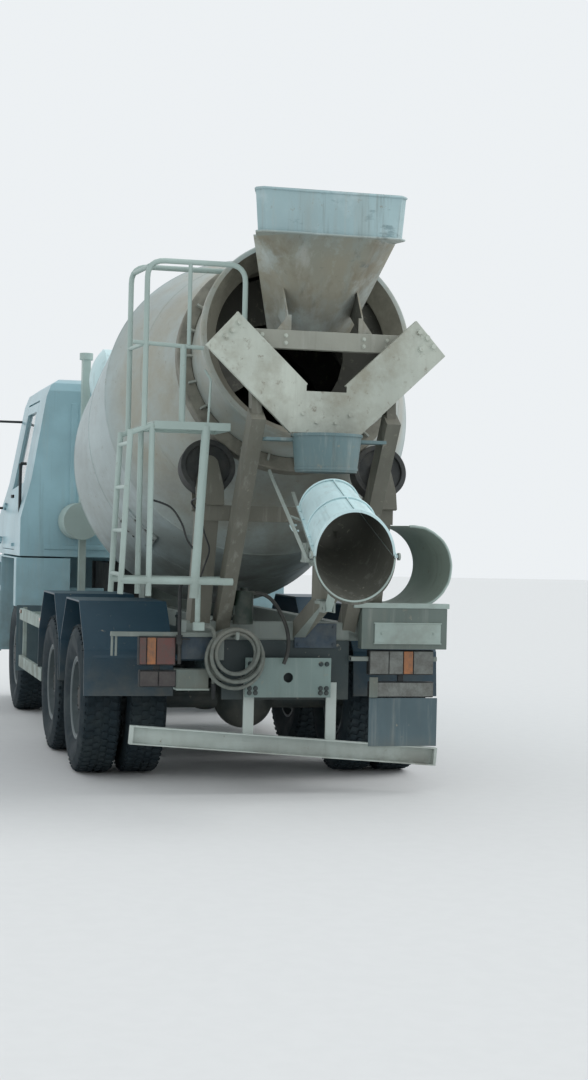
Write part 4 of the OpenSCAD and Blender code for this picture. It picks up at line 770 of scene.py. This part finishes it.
def drum_outside():
    """The drum's outer outline in (radius, along): rolled mouth, neck, cones with weld seams, head."""
    shell = [(0, MOUTH_R), (537, MOUTH_R), (560, 740), (BELLY_AT, BELLY_R), (BELLY_END, BELLY_R),
             (HEAD_AT, HEAD_R)]

    def radius_at(u):
        for (u0, r0), (u1, r1) in zip(shell, shell[1:]):
            if u <= u1:
                return r0 + (r1 - r0) * (u - u0) / (u1 - u0)
        return HEAD_R

    outline = [(655, 1), (668, 0), (682, 2), (690, 12), (690, 60), (684, 70), (672, 76), (665, 82),
               (665, 420), (665, 532), (668, 541), (734, 556), (745, 566)]
    for u in (960, BELLY_AT, 2130, BELLY_END, 3500):
        for du, dr in ((-60, 0), (-11, 0), (-6, 3.5), (6, 3.5), (11, 0), (60, 0)):
            outline.append((radius_at(u + du) + dr, u + du))
    return outline + [(752, 4060), (742, 4090), (730, 4100), (600, 4101), (262, 4101), (260, 4158),
                      (250, 4160), (0, 4160)]


class MIXER_OT_drum(bpy.types.Operator):
    """Drum with its rolled mouth, weld seams, hatches and running ring"""

    bl_idname = "mixer.drum"
    bl_label = "Drum"

    def execute(self, context):
        steps = context.scene.mixer_shape.drum_steps
        inside = [
            (655, 1), (640, 22), (606, 80), (574, 134), (570, 140), (570, 150), (574, 156), (600, 112),
            (650, 28), (655, 30), (655, 528), (724, 560), (BELLY_R - DRUM_SHEET, BELLY_AT + 2),
            (BELLY_R - DRUM_SHEET, BELLY_END - 2), (HEAD_R - DRUM_SHEET, 4078), (0, 4080)]
        for name, outline, finish in (("drum_skin", drum_outside(), "drum"),
                                      ("drum_lining", inside, "lining")):
            add_piece(place_all(turned_mm(outline, steps), at_drum()), name, finish,
                      replaced=("drum_shell",), body="drum", smooth=0.35)
        hatches, fasteners = bmesh.new(), bmesh.new()
        pitches = [k * 0.05 for k in range(-2, 3)]
        edge_spots = ([(-0.132, z) for z in pitches] + [(0.132, z) for z in pitches]
                      + [(y, -0.152) for y in pitches[1:4]] + [(y, 0.152) for y in pitches[1:4]])
        for quarter in range(4):
            turn = at_drum(BELLY_AT + 590) @ Matrix.Rotation(math.radians(45 + 90 * quarter), 4, "Z")
            box(hatches, turn, (BELLY_R / 1000 + 0.003, 0, 0), (0.018, 0.30, 0.34))
            box(hatches, turn, (BELLY_R / 1000 + 0.011, 0, 0), (0.016, 0.23, 0.27))
            spots = [turn @ Vector((BELLY_R / 1000 + 0.012, y, z)) for y, z in edge_spots]
            bolts(fasteners, spots, turn.to_3x3() @ Vector((1, 0, 0)), 0.008, 0.008)
        add_piece(hatches, "drum_hatches", "drum", 0.004, body="drum")
        add_piece(fasteners, "drum_hatch_bolts", "steel", body="drum")
        ring = [
            (MOUTH_R + 0.4, RING_AT + 6), (672, RING_AT), (752, RING_AT), (RING_R, RING_AT + 8),
            (RING_R, RING_END - 8), (752, RING_END), (672, RING_END), (MOUTH_R + 0.4, RING_END - 6)]
        bm = place_all(turned_mm(ring, steps, closed=True), at_drum())
        add_piece(bm, "running_ring", "ring", replaced=("drum_ring",), body="drum")
        bm = bmesh.new()
        for k in range(24):
            for low, high in ((405, RING_AT + 1), (RING_END - 1, 548)):
                middle, length = (low + high) / 2000, (high - low) / 1000
                box(bm, round_drum(k / 24), (0.690, 0, middle), (0.056, 0.012, length))
        add_piece(bm, "ring_gussets", "drum", body="drum")
        dressed("drum_blades", 0.002, 1, finish="blades")
        for node in ("drum_drive", "roller_left", "roller_right"):
            dressed(node, 0.006)
        bm = bmesh.new()
        bolt_circle(bm, at_drum(4250), 0.215, 16, 0, 0.012, 0.014)
        for k in range(8):
            box(bm, round_drum((k + 0.5) / 8), (0.196, 0, 4.36), (0.03, 0.014, 0.2))
        add_piece(bm, "drum_drive_bolts", "cast")
        return {"FINISHED"}


# Tread rows of a tyre in metres: place across, length, width, and whether they are set half a pitch on
TREAD_ROWS = ((-0.078, 0.050, 0.034, 0), (-0.026, 0.036, 0.030, 1), (0.026, 0.036, 0.030, 0),
              (0.078, 0.050, 0.034, 1))
TREAD_LOW = 0.503


def tyre_mesh(lug_count, steps):
    """One tyre about Z, centred on the origin, in metres."""
    bead = RIM_R / 1000
    outline = [
        (bead - 0.010, -0.098), (bead + 0.004, -0.106), (bead + 0.018, -0.110), (bead + 0.030, -0.116),
        (bead + 0.060, -0.130), (0.385, -0.1385), (0.410, -0.1395), (0.436, -0.137), (0.440, -0.1395),
        (0.446, -0.1365), (0.470, -0.129), (0.492, -0.119), (0.504, -0.108), (0.508, -0.096),
        (0.5095, -0.060), (0.5095, -0.045)]
    outline += [(r, -h) for r, h in reversed(outline)]
    bm = turned(outline, steps)
    for k in range(lug_count):
        a = math.tau * k / lug_count
        shift = 0.5 * math.tau / lug_count
        for h, length, width, half_pitch in TREAD_ROWS:
            turn = Matrix.Rotation(a + half_pitch * shift, 4, "Z")
            top = 0.5195 if abs(h) < 0.05 else 0.5175
            lug = box(bm, turn, ((TREAD_LOW + top) / 2, 0, h), (top - TREAD_LOW, width, length),
                      Matrix.Rotation(0.22 if h > 0 else -0.22, 4, "X"))
            out = turn.to_3x3() @ Vector((1, 0, 0))
            hidden = [f for f in {f for v in lug for f in v.link_faces} if f.normal.dot(out) < -0.9]
            bmesh.ops.delete(bm, geom=hidden, context="FACES_ONLY")
        for side in (-1, 1):
            box(bm, Matrix.Rotation(a, 4, "Z"), (0.497, 0, side * 0.1125), (0.026, 0.022, 0.012),
                Matrix.Rotation(side * -0.95, 4, "Y"))
    mesh = bpy.data.meshes.new("tyre")
    bm.to_mesh(mesh)
    bm.free()
    return mesh


def wheel_pieces(axle, side, sign, tyre):
    """Tyres, disc, rim lips with nuts, and hub cap of one wheel."""
    node = "wheel_%s_%s" % (axle, side)
    body = BODY_OF[node]
    front = axle == "front"
    outer = OUTER_TYRE_Y[axle]
    face = Matrix.Rotation(-sign * math.pi / 2, 4, "X")
    tyres = []
    for y in [outer] if front else [outer, outer - TWIN_PITCH]:
        bm = bmesh.new()
        bm.from_mesh(tyre)
        tyres.append(place_all(bm, Matrix.Translation(station(AXLES[axle], sign * y, HUB_Z)) @ face))
    add_piece(joined(tyres), node + "_tyres", "rubber", None, (node,), body, 0.55)
    centre = station(AXLES[axle], 0, HUB_Z)

    def in_rim(f):
        return max(math.hypot(v.co.x - centre.x, v.co.z - centre.z) for v in f.verts) < 0.2775

    add_piece(copy_of(node, in_rim), node + "_disc", "rim", None, (node,), body, 0.5)
    hub = Matrix.Translation(station(AXLES[axle], sign * outer, HUB_Z)) @ face
    bm = bmesh.new()
    bolt_circle(bm, hub, 0.150, 10, 0.068 if front else -0.052, 0.017, 0.030)
    for y in (-1, 1):
        lip = turned([(0.277, y * 0.086), (0.288, y * 0.088), (0.294, y * 0.098), (0.293, y * 0.108),
                      (0.284, y * 0.112), (0.270, y * 0.108), (0.262, y * 0.098)], 64, closed=True)
        bm = joined([bm, place_all(lip, hub)])
    add_piece(bm, node + "_nuts", "rim", body=body, smooth=0.5)
    top, rad = (0.123, 0.100) if front else (0.085, 0.096)
    cap = turned([(rad + 0.006, top - 0.030), (rad + 0.006, top - 0.020), (rad, top - 0.012),
                  (rad - 0.012, top), (rad - 0.030, top + 0.004), (0.0, top + 0.004)], 40)
    place_all(cap, hub)
    bolt_circle(cap, hub, rad - 0.012, 8, top, 0.007, 0.007)
    add_piece(cap, node + "_cap", "cast", body=body, smooth=0.5)


class MIXER_OT_wheels(bpy.types.Operator):
    """Tyres with tread, rims, nuts and hubs on all ten wheels"""

    bl_idname = "mixer.wheels"
    bl_label = "Wheels"

    def execute(self, context):
        shape = context.scene.mixer_shape
        tyre = tyre_mesh(shape.lug_count, shape.tyre_steps)
        for axle in AXLES:
            for side, sign in SIDES:
                wheel_pieces(axle, side, sign, tyre)
        return {"FINISHED"}


def rolled_edge(name, half, z, wave, wave_scale, sink):
    """A rolled edge round the hopper, from the left half of its plan, uneven by a wave in metres."""
    around = [station(s, y, z) for s, y in half] + [station(s, -y, z) for s, y in reversed(half)]
    fine = []
    for p, q in zip(around, around[1:] + around[:1]):
        count = max(2, int((q - p).length / 0.06))
        for k in range(count):
            at = p.lerp(q, k / count)
            fine.append(at + Vector((0, 0, wave * noise.noise(at * wave_scale) - sink)))
    tube(name, fine, 15, "hopper", closed=True)


def is_beam(face):
    return face.calc_center_median().z > BEAM_Z / 1000


def is_strut(face):
    middle = face.calc_center_median()
    return STRUT_Z / 1000 < middle.z <= BEAM_Z / 1000 and middle.x < station(STRUT_FRONT, 0, 0).x


class MIXER_OT_rear(bpy.types.Operator):
    """Hopper, cross beam, struts, side chutes and collector at the back"""

    bl_idname = "mixer.rear"
    bl_label = "Rear"

    def execute(self, context):
        upright = Matrix.Translation(station(-1800, 0, 0)) @ Matrix.Rotation(-math.pi / 2, 4, "Y")
        lined(dressed("hopper", None, smooth=0.5), upright, "crust")
        rolled_edge("hopper_rim", [(-2136, 440), (-2096, 480), (-1526, 314)], HOPPER_RIM_Z, 0.004, 5, 0.002)
        rolled_edge("hopper_fold", [(-2142, 430), (-2102, 470), (-1518, 312)], HOPPER_FOLD_Z, 0.002, 6, 0)
        for name, finish, edge, keep in (
                ("cross_beam", "cross", 0.004, is_beam), ("struts", "strut", 0.005, is_strut),
                ("sub_frame", "grey", 0.004, lambda f: not is_beam(f) and not is_strut(f))):
            dressed("mixer_frame", edge, finish=finish, name=name, keep=keep)
        dressed("side_chutes", 0.0025)
        dressed("collector", 0.002)
        bm = bmesh.new()
        upper = [(560, 2990), (640, 2905), (600, 2940), (-590, 2985), (-640, 2950), (-680, 2900), (-600, 2880)]
        lower = [(60, 2400), (-60, 2400), (150, 2450), (-150, 2450)]
        bolts(bm, [station(-2085, y, z) for y, z in upper], BACK, 0.016, 0.020)
        bolts(bm, [station(-2085, y, z) for y, z in lower], BACK, 0.010, 0.012)
        for y in (-400, -250, 250, 400):
            bolts(bm, [station(-2020, y, z) for z in (2885, 2930)], BACK, 0.010, 0.012)
        add_piece(bm, "side_chute_bolts", "cement")
        bm = bmesh.new()
        for z, r in ((2114, 190), (2318, 214.5)):
            section = [(r - 1, z - 9), (r + 6, z - 9), (r + 6, z + 9), (r - 1, z + 9)]
            band = turned_mm(section, 64, closed=True)
            bm = joined([bm, place_all(band, Matrix.Translation(station(-2110, 0, 0)))])
        add_piece(bm, "collector_bands", "collector", 0.002)
        return {"FINISHED"}


def at_chute():
    """Local frame of the chute: origin at its end, +X up along it."""
    return Matrix.Translation(station(*CHUTE_END)) @ Matrix.Rotation(-CHUTE_SLOPE, 4, "Y")


class MIXER_OT_chute(bpy.types.Operator):
    """Lower chute, folded extension, swivel and prop"""

    bl_idname = "mixer.chute"
    bl_label = "Chute"

    def execute(self, context):
        place = at_chute()
        for node in ("main_chute", "chute_extension"):
            lined(dressed(node, 0.002, smooth=0.5), place, "crust")
        dressed("chute_swivel", 0.004)
        dressed("prop_barrel", 0.002)
        dressed("prop_rod", 0.0015)
        bm = bmesh.new()
        spots = [place @ Vector((x, y * (0.238 - EXTENSION_TAPER * x + 0.008), 0.011))
                 for x in (0.10, 0.22, 0.34, 0.46, 0.58) for y in (-1, 1)]
        bolts(bm, spots, place.to_3x3() @ Vector((0, 0, 1)), 0.007, 0.008)
        add_piece(bm, "extension_bolts", "white", body="extension")
        for name, x in (("middle", 0.335), ("upper", 0.645)):
            r = EXTENSION_R - EXTENSION_TAPER * x
            angles = (math.pi * k / 36 for k in range(37))
            arc = [place @ Vector((x, r * math.cos(a), 0.010 + r * math.sin(a))) for a in angles]
            tube("extension_rib_" + name, arc, 11, "white", body="extension")
        ridge = [place @ Vector((x, 0, EXTENSION_R - EXTENSION_TAPER * x)) for x in (0.145, 0.38, 0.62)]
        tube("extension_ridge", ridge, 10, "cable", body="extension")
        # Thick pale edge of the chute's upright end, which leans back in the chute's own frame
        edge = []
        for a in (math.pi * (1.02 + 0.96 * k / 36) for k in range(37)):
            z = CHUTE_R * math.sin(a)
            edge.append(place @ Vector((0.008 + z * math.tan(CHUTE_SLOPE), CHUTE_R * math.cos(a), z)))
        tube("chute_edge", edge, 13, "ladder", body="chute")
        grip = [(0.50, 0.232, -0.045), (0.50, 0.272, -0.045), (0.42, 0.272, -0.045), (0.42, 0.236, -0.045)]
        tube("chute_handle", corner_path([place @ Vector(p) for p in grip], 0.012), 12, "white",
             body="chute")
        return {"FINISHED"}


# Platform: its ends and sides, and the top and bottom of its frame
PLATFORM_S = (-1820, -1380)
PLATFORM_Y = (540, 1020)
PLATFORM_Z = (2340, 2390)
# Rails: name, diameter, bend radius and the corners they run through
RAILS = (
    ("rail_loop_front", 34, 110, [(-1420, 1117, 2330), (-1420, 1117, 3384), (-1420, 473, 3384)]),
    ("rail_loop_rear", 34, 110, [(-1800, 1080, 2345), (-1800, 1080, 3376), (-1800, 462, 3376),
                                 (-1800, 462, 2975)]),
    ("rail_tie", 30, 60, [(-1420, 1100, 3340), (-1800, 1068, 3340)]),
    ("rail_post", 26, 60, [(-1800, 812, 2863), (-1800, 812, 3376)]),
    ("rail_middle", 26, 60, [(-1800, 1161, 2869), (-1800, 717, 2850)]),
    ("rail_middle_tie", 26, 60, [(-1420, 1117, 2860), (-1800, 1080, 2866)]),
    ("rail_prop", 40, 60, [(-1800, 845, 2863), (-1800, 845, 2385)]),
    ("rail_hook", 15, 60, [(-1800, 707, 2715), (-1800, 667, 2655), (-1800, 680, 2385)]),
)


def outside_grating(face):
    """Whether a face of the ladder's node is no part of the platform's flat deck."""
    middle = face.calc_center_median()
    heights = [v.co.z for v in face.verts]
    return not (2.355 < middle.z < 2.395 and 0.539 < middle.y < 1.021 and max(heights) - min(heights) < 0.031)


class MIXER_OT_platform(bpy.types.Operator):
    """Platform with its grating, ladder and rails"""

    bl_idname = "mixer.platform"
    bl_label = "Platform"

    def execute(self, context):
        bm = copy_of("access_ladder", outside_grating)
        # The posts stop at the platform: the rails over it are tubes of their own
        cut = bmesh.ops.bisect_plane(
            bm, geom=bm.verts[:] + bm.edges[:] + bm.faces[:], plane_co=(0, 0, 2.372), plane_no=(0, 0, 1),
            clear_outer=True)["geom_cut"]
        bmesh.ops.holes_fill(bm, edges=[g for g in cut if isinstance(g, bmesh.types.BMEdge)])
        add_piece(bm, "ladder_frame", "ladder", 0.002, ("access_ladder",), segments=1)
        (s0, s1), (y0, y1), (z0, z1) = PLATFORM_S, PLATFORM_Y, PLATFORM_Z
        bm = bmesh.new()
        block(bm, (s0, y0, z0), (s0 + 8, y1, z1))
        block(bm, (s1 - 8, y0, z0), (s1, y1, z1))
        block(bm, (s0 + 8, y0, z0), (s1 - 8, y0 + 8, z1))
        block(bm, (s0 + 8, y1 - 8, z0), (s1 - 8, y1, z1))
        for y in range(y0 + 30, y0 + 451, 30):
            block(bm, (s0 + 8, y - 2, z1 - 28), (s1 - 8, y + 2, z1 - 3))
        for s in range(s0 + 44, s0 + 397, 44):
            rod(bm, station(s, y0 + 8, z1 - 6), station(s, y1 - 8, z1 - 6), 0.003, 6)
        add_piece(bm, "platform_grating", "ladder", 0.0015, ("access_ladder",), segments=1)
        for name, d, bend, points in RAILS:
            tube(name, corner_path(stations(points), bend / 1000), d, "ladder")
        return {"FINISHED"}


# Tail lamps: bars that carry them, housings, and lenses as kind, rear face, sides, bottom and top
LAMP_BARS = (
    ((-1286, 430.3, 1030), (-1254, 1175, 1060)), ((-1286, 430.3, 880), (-1254, 470, 1060)),
    ((-1286, -1030, 880), (-1254, -430.3, 910)), ((-1285, 430.3, 882), (-1160, 468, 908)),
    ((-1285, -468, 882), (-1160, -430.3, 908)))
LAMP_HOUSINGS = (
    ((-1302, 752, 845), (-1240, 995, 1033)), ((-1296, 746, 705), (-1246, 987, 815)),
    ((-1302, -1000, 790), (-1240, -550, 955)), ((-1296, -1006, 640), (-1246, -558, 745)),
    ((-1280, 850, 800), (-1260, 892, 860)), ((-1280, -800, 730), (-1260, -758, 800)))
LENSES = (
    ("red", -1302, 947, 989, 853, 1025), ("amber", -1302, 884, 941, 853, 1025),
    ("red", -1302, 758, 878, 853, 1025), ("smoked", -1296, 866, 981, 712, 808),
    ("smoked", -1296, 752, 860, 712, 808), ("clear", -1302, -994, -860, 797, 948),
    ("amber", -1302, -854, -790, 797, 948), ("clear", -1302, -784, -690, 797, 948),
    ("clear", -1302, -684, -556, 797, 948), ("clear", -1296, -1000, -564, 647, 738))


class MIXER_OT_lamps(bpy.types.Operator):
    """Tail lamps, headlamps and side markers with their lenses"""

    bl_idname = "mixer.lamps"
    bl_label = "Lamps"

    def execute(self, context):
        bm = bmesh.new()
        for low, high in LAMP_BARS:
            block(bm, low, high)
        add_piece(bm, "lamp_bars", "grey", 0.004, ("lamps",))
        bm = bmesh.new()
        parts = {kind: bmesh.new() for kind in ("red", "amber", "clear", "smoked")}
        for low, high in LAMP_HOUSINGS:
            block(bm, low, high)
        for kind, s, y0, y1, z0, z1 in LENSES:
            block(parts[kind], (s - 8, y0, z0), (s + 2, y1, z1))
        for side in (1, -1):
            block(bm, (5890.3, side * 770, 600), (5960, side * 1110, 790))
            for y, kind, r in ((860, "clear", 0.056), (985, "clear", 0.056), (1075, "amber", 0.024)):
                rod(parts[kind], station(5955, side * y, 695), station(5974, side * y, 695), r, 40, r * 0.86)
            for s in (2100, 3560):
                block(parts["amber"], (s - 35, side * 1219, 950), (s + 35, side * 1232, 980))
        add_piece(bm, "lamp_housings", "plastic", 0.006, ("lamps",))
        for kind, part in parts.items():
            add_piece(part, "lamp_%s_lenses" % kind, kind, 0.003, ("lamps",))
        return {"FINISHED"}


# Small pipes and cables at the back: name, diameter, finish and points
PIPES = (
    ("bar_hanger_outer", 16, "grey", [(-1270, 1164, 1045), (-1270, 1164, 905)]),
    ("bar_hanger_inner", 16, "grey", [(-1270, 1138, 1045), (-1270, 1138, 905)]),
    ("drain_pipe", 24, "cable", [(-1420, 745, 1392), (-1336, 742, 1330), (-1336, 736, 858)]),
    ("tap_lever", 9, "cable", [(-1350, 738, 1015), (-1356, 700, 1022), (-1356, 672, 1018)]),
    ("post_cable", 13, "cable", [(-1800, 1030, 1905), (-1780, 900, 1860), (-1775, 825, 1760),
                                 (-1780, 790, 1660), (-1797, 735, 1585)]),
    ("pipe_cable", 12, "cable", [(-1420, 640, 1385), (-1440, 605, 1500), (-1430, 575, 1600),
                                 (-1440, 610, 1700), (-1420, 640, 1820), (-1440, 700, 1900),
                                 (-1790, 715, 1930)]),
)


class MIXER_OT_fittings(bpy.types.Operator):
    """Small pipes, panels, boxes and cables across the back"""

    bl_idname = "mixer.fittings"
    bl_label = "Rear fittings"

    def execute(self, context):
        for name, d, finish, points in PIPES:
            route = stations(points)
            # Stiff pipes bend at their corners, and slack cables curve all along
            route = corner_path(route, 0.05) if len(route) < 4 else smooth_route(route, 6)
            tube(name, route, d, finish)
        bm = bmesh.new()
        rod(bm, station(-1336, 739, 985), station(-1336, 738, 1045), 0.021, 16)
        rod(bm, station(-1356, 738, 1015), station(-1318, 738, 1015), 0.012, 12)
        add_piece(bm, "drain_tap", "cable")
        bm = bmesh.new()
        block(bm, (-1276, 505, 886), (-1268, 711, 1036))
        block(bm, (-1246, -337, 962), (-1232.3, -51, 1125))
        bolts(bm, [station(-1246, y, z) for y in (-315, -73) for z in (985, 1102)], BACK, 0.008, 0.008)
        add_piece(bm, "rear_panels", "panel", 0.002)
        bm = bmesh.new()
        block(bm, (-1290, 530, 696), (-1200, 746.5, 820))
        block(bm, (-1250, 430.3, 762), (-1220, 531, 790))
        block(bm, (-1312, -612, 640), (-1303.5, -553, 775))
        add_piece(bm, "rear_boxes", "box", 0.003)
        bm = bmesh.new()
        block(bm, (-1297, 524, 684), (-1194, 744, 697))
        block(bm, (-1344, -1090, 1235), (-1273, -425, 1268))
        add_piece(bm, "rear_strips", "ladder", 0.003)
        return {"FINISHED"}


# Spare chute section: centre and radius of its torn edge
SPARE_AT = (-1271, -848, 1510.3)
SPARE_R = 271


class MIXER_OT_chassis(bpy.types.Operator):
    """Frame, axles, mudguards with flaps, tanks, guards and tool box"""

    bl_idname = "mixer.chassis"
    bl_label = "Chassis"

    def execute(self, context):
        for node in ("frame", "cross_members", "tail_plate", "front_axle", "rear_axles", "knuckle_left",
                     "knuckle_right", "side_guards", "underrun_beam", "toolbox", "intake_stack", "wings",
                     "bumper", "engine", "mudguards", "water_tank"):
            dressed(node, 0.004)
        dressed("spare_chutes", 0.0015)
        dressed("side_tanks", 0.012, 3)
        dressed("wash_flask", 0.006)
        # Torn, crusted edge of the spare chute section: its radius wanders a little
        rim = []
        s, y, z = SPARE_AT
        for k in range(49):
            a = math.radians(84 + 186 * k / 48)
            r = SPARE_R + 3 * noise.noise(Vector((k * 0.37, 0.5, 0.2)))
            rim.append(station(s, y + r * math.cos(a), z + r * math.sin(a)))
        tube("spare_chute_edge", rim, 17, "ladder")
        bm = bmesh.new()
        # Rubber flaps: one hangs under the right tail lamp, two behind the front wheels
        block(bm, (-1302, -1032, 316), (-1294, -556, 637))
        for side in (1, -1):
            block(bm, (3795, side * 790, 420), (3803, side * 1235, 1010))
        add_piece(bm, "mud_flaps", "slate", 0.003)
        bm = bmesh.new()
        # Blank plate and its rim on the tool box
        block(bm, (-1349, -1030, 1002), (-1341, -570, 1136))
        for z in (1132, 998):
            block(bm, (-1352, -1036, z), (-1341, -564, z + 8))
        bolts(bm, [station(-1349, y, 1069) for y in (-980, -620)], BACK, 0.007, 0.006)
        add_piece(bm, "blank_plate", "ladder", 0.002)
        bm = bmesh.new()
        for side in (1, -1):
            out = (0, side, 0)
            for s in range(-1150, 5500, 260):
                bolts(bm, [station(s, side * FRAME_Y, z) for z in (800, 950)], out, 0.011, 0.010)
            for s in (-1100, -600, 300, 900, 1700, 2300, 3100):
                block(bm, (s - 40, side * FRAME_Y, 960), (s + 40, side * (FRAME_Y + 10), 1120))
                spots = [station(s + ds, side * (FRAME_Y + 10), 1090) for ds in (-20, 20)]
                bolts(bm, spots, out, 0.010, 0.010)
        for y in (-260, -220, 220, 260):
            bolts(bm, [station(-1304, y, z) for z in (670, 700, 860)], BACK, 0.012, 0.012)
        add_piece(bm, "frame_bolts", "dark")
        bm = bmesh.new()
        # Straps, cap and step of the fuel tank, lid of the battery box
        for s in (2200, 2600, 3000):
            sleeve = bmesh.new()
            block(sleeve, (s - 22, -1063, 407), (s + 22, -457, 993))
            along = [e for e in sleeve.edges if abs(e.verts[0].co.x - e.verts[1].co.x) > 0.02]
            bmesh.ops.bevel(
                sleeve, geom=along, offset=0.083, segments=6, profile=0.5, affect="EDGES", material=-1)
            bm = joined([bm, sleeve])
        rod(bm, station(2850, -720, 988), station(2850, -720, 1032), 0.045, 24)
        block(bm, (2940, 550, 898), (3360, 1090, 922))
        add_piece(bm, "tank_straps", "steel", 0.002)
        return {"FINISHED"}


def cushion(name, low, high, tilt=0.0, pivot=None, seams=(0.5,)):
    """A crowned cushion between two corners in metres, with sewn channels across it."""
    bm = bmesh.new()
    size = high - low
    mid = (low + high) / 2
    box(bm, Matrix(), mid, size)
    bmesh.ops.subdivide_edges(bm, edges=bm.edges[:], cuts=9, use_grid_fill=True)
    thin = min(range(3), key=lambda i: size[i])
    flat = [i for i in range(3) if i != thin]
    for v in bm.verts:
        p = Vector((2 * (v.co[i] - mid[i]) / size[i] for i in range(3)))
        crown = (1 - p[flat[0]] ** 4) * (1 - p[flat[1]] ** 4)
        v.co[thin] = mid[thin] + (v.co[thin] - mid[thin]) * (0.72 + 0.28 * crown)
        for i, other in (flat, flat[::-1]):
            share = 0.955 + 0.045 * (1 - p[other] ** 2) - 0.03 * p[thin] ** 4
            v.co[i] = mid[i] + (v.co[i] - mid[i]) * share
        for c in seams:
            d = abs(p[flat[-1 if thin != 2 else 1]] - (2 * c - 1))
            if d < 0.12:
                v.co[thin] -= (v.co[thin] - mid[thin]) * 0.16 * (1 - d / 0.12)
    if pivot is not None:
        bmesh.ops.rotate(bm, cent=pivot, matrix=Matrix.Rotation(tilt, 3, "Y"), verts=bm.verts)
    piece = add_piece(bm, name, "cloth", replaced=("seats",), body="cab", smooth=3.0)
    smooth = piece.modifiers.new("round", "SUBSURF")
    smooth.levels = 1
    smooth.render_levels = 1


# Seats: station and side of their middle, and lean of their backs
SEAT_S = 4635
SEAT_Y = 560
SEAT_LEAN = math.radians(-12)


def screen(y, z, out=10):
    """A point just outside the windscreen."""
    return station(5760 - (z - 2010) * 0.2121 + out, y, z)


class MIXER_OT_cab(bpy.types.Operator):
    """Cab, doors, seats, mirrors, grille and wipers"""

    bl_idname = "mixer.cab"
    bl_label = "Cab"

    def execute(self, context):
        for node in ("cab_shell", "door_left", "door_right"):
            dressed(node, 0.006, smooth=0.5)
        for node in ("grille", "dashboard", "mirrors"):
            dressed(node, 0.004)
        for side, sign in SIDES:
            y = sign * SEAT_Y
            base = station(SEAT_S, y, 0)

            def local(x, dy, z):
                return base + Vector((x / 1000, dy / 1000, z / 1000))

            cushion("seat_base_" + side, local(-258, -248, 1785), local(258, 248, 1903), seams=(0.3, 0.7))
            cushion("seat_back_" + side, local(-310, -238, 1897), local(-190, 238, 2543), SEAT_LEAN,
                    local(-250, 0, 1895), (0.35, 0.65))
            cushion("headrest_" + side, local(-440, -128, 2517), local(-360, 128, 2693), SEAT_LEAN,
                    local(-400, 0, 2505), ())
            bm = bmesh.new()
            block(bm, (SEAT_S - 195, y - 175, 1502), (SEAT_S + 145, y + 175, 1786))
            for dy in (-60, 60):
                rod(bm, local(-382, dy, 2500), local(-395, dy, 2560), 0.008, 10)
            add_piece(bm, "seat_box_" + side, "plastic", 0.01, ("seats",), "cab")
        bm = bmesh.new()
        # Wipers on the windscreen
        for y in (-520, 60):
            rod(bm, screen(y + 420, 2070), screen(y, 2420, 16), 0.009, 8)
            rod(bm, screen(y - 20, 2120, 4), screen(y + 40, 2700, 4), 0.007, 8)
        # Door handles, and grab bars behind the doors
        for side in (1, -1):
            block(bm, (4345, side * 1223, 1985), (4465, side * 1243, 2015))
            rod(bm, station(4120, side * 1195, 1700), station(4120, side * 1195, 2300), 0.014, 12)
            for z in (1700, 2300):
                rod(bm, station(4120, side * 1140, z), station(4120, side * 1196, z), 0.014, 12)
        add_piece(bm, "cab_fittings", "plastic", 0.002, body="cab")
        bm = bmesh.new()
        # Ribs and sill of the rear wall
        for y in (-750, -375, 0, 375, 750):
            block(bm, (3793, y - 30, 1560), (3801, y + 30, 2850))
        block(bm, (3790, -1000, 1520), (3801, 1000, 1560))
        add_piece(bm, "cab_ribs", "cab", 0.004, body="cab")
        bm = bmesh.new()
        for side in (1, -1):
            block(bm, (5504, side * 1312, 2065), (5511, side * 1468, 2585))
        add_piece(bm, "mirror_faces", "mirror", 0.002, body="cab")
        return {"FINISHED"}


OPERATORS = (
    MIXER_OT_stage,
    MIXER_OT_finishes,
    MIXER_OT_hoses,
    MIXER_OT_drum,
    MIXER_OT_wheels,
    MIXER_OT_rear,
    MIXER_OT_chute,
    MIXER_OT_platform,
    MIXER_OT_lamps,
    MIXER_OT_fittings,
    MIXER_OT_chassis,
    MIXER_OT_cab,
)


class MIXER_PT_panel(bpy.types.Panel):
    """Settings and steps of the mixer truck"""

    bl_label = "Mixer truck"
    bl_idname = "MIXER_PT_panel"
    bl_space_type = "VIEW_3D"
    bl_region_type = "UI"
    bl_category = "Mixer"

    def draw(self, context):
        for group in (context.scene.mixer_finish, context.scene.mixer_shape):
            for name in group.__annotations__:
                self.layout.prop(group, name)
        for operator in OPERATORS:
            self.layout.operator(operator.bl_idname)


CLASSES = (FinishSettings, ShapeSettings, *OPERATORS, MIXER_PT_panel)


def register():
    for cls in CLASSES:
        bpy.utils.register_class(cls)
    bpy.types.Scene.mixer_finish = PointerProperty(type=FinishSettings)
    bpy.types.Scene.mixer_shape = PointerProperty(type=ShapeSettings)


def unregister():
    del bpy.types.Scene.mixer_shape
    del bpy.types.Scene.mixer_finish
    for cls in reversed(CLASSES):
        bpy.utils.unregister_class(cls)


def main():
    register()
    for operator in OPERATORS:
        getattr(bpy.ops.mixer, operator.bl_idname.split(".")[1])()


if __name__ == "__main__":
    main()
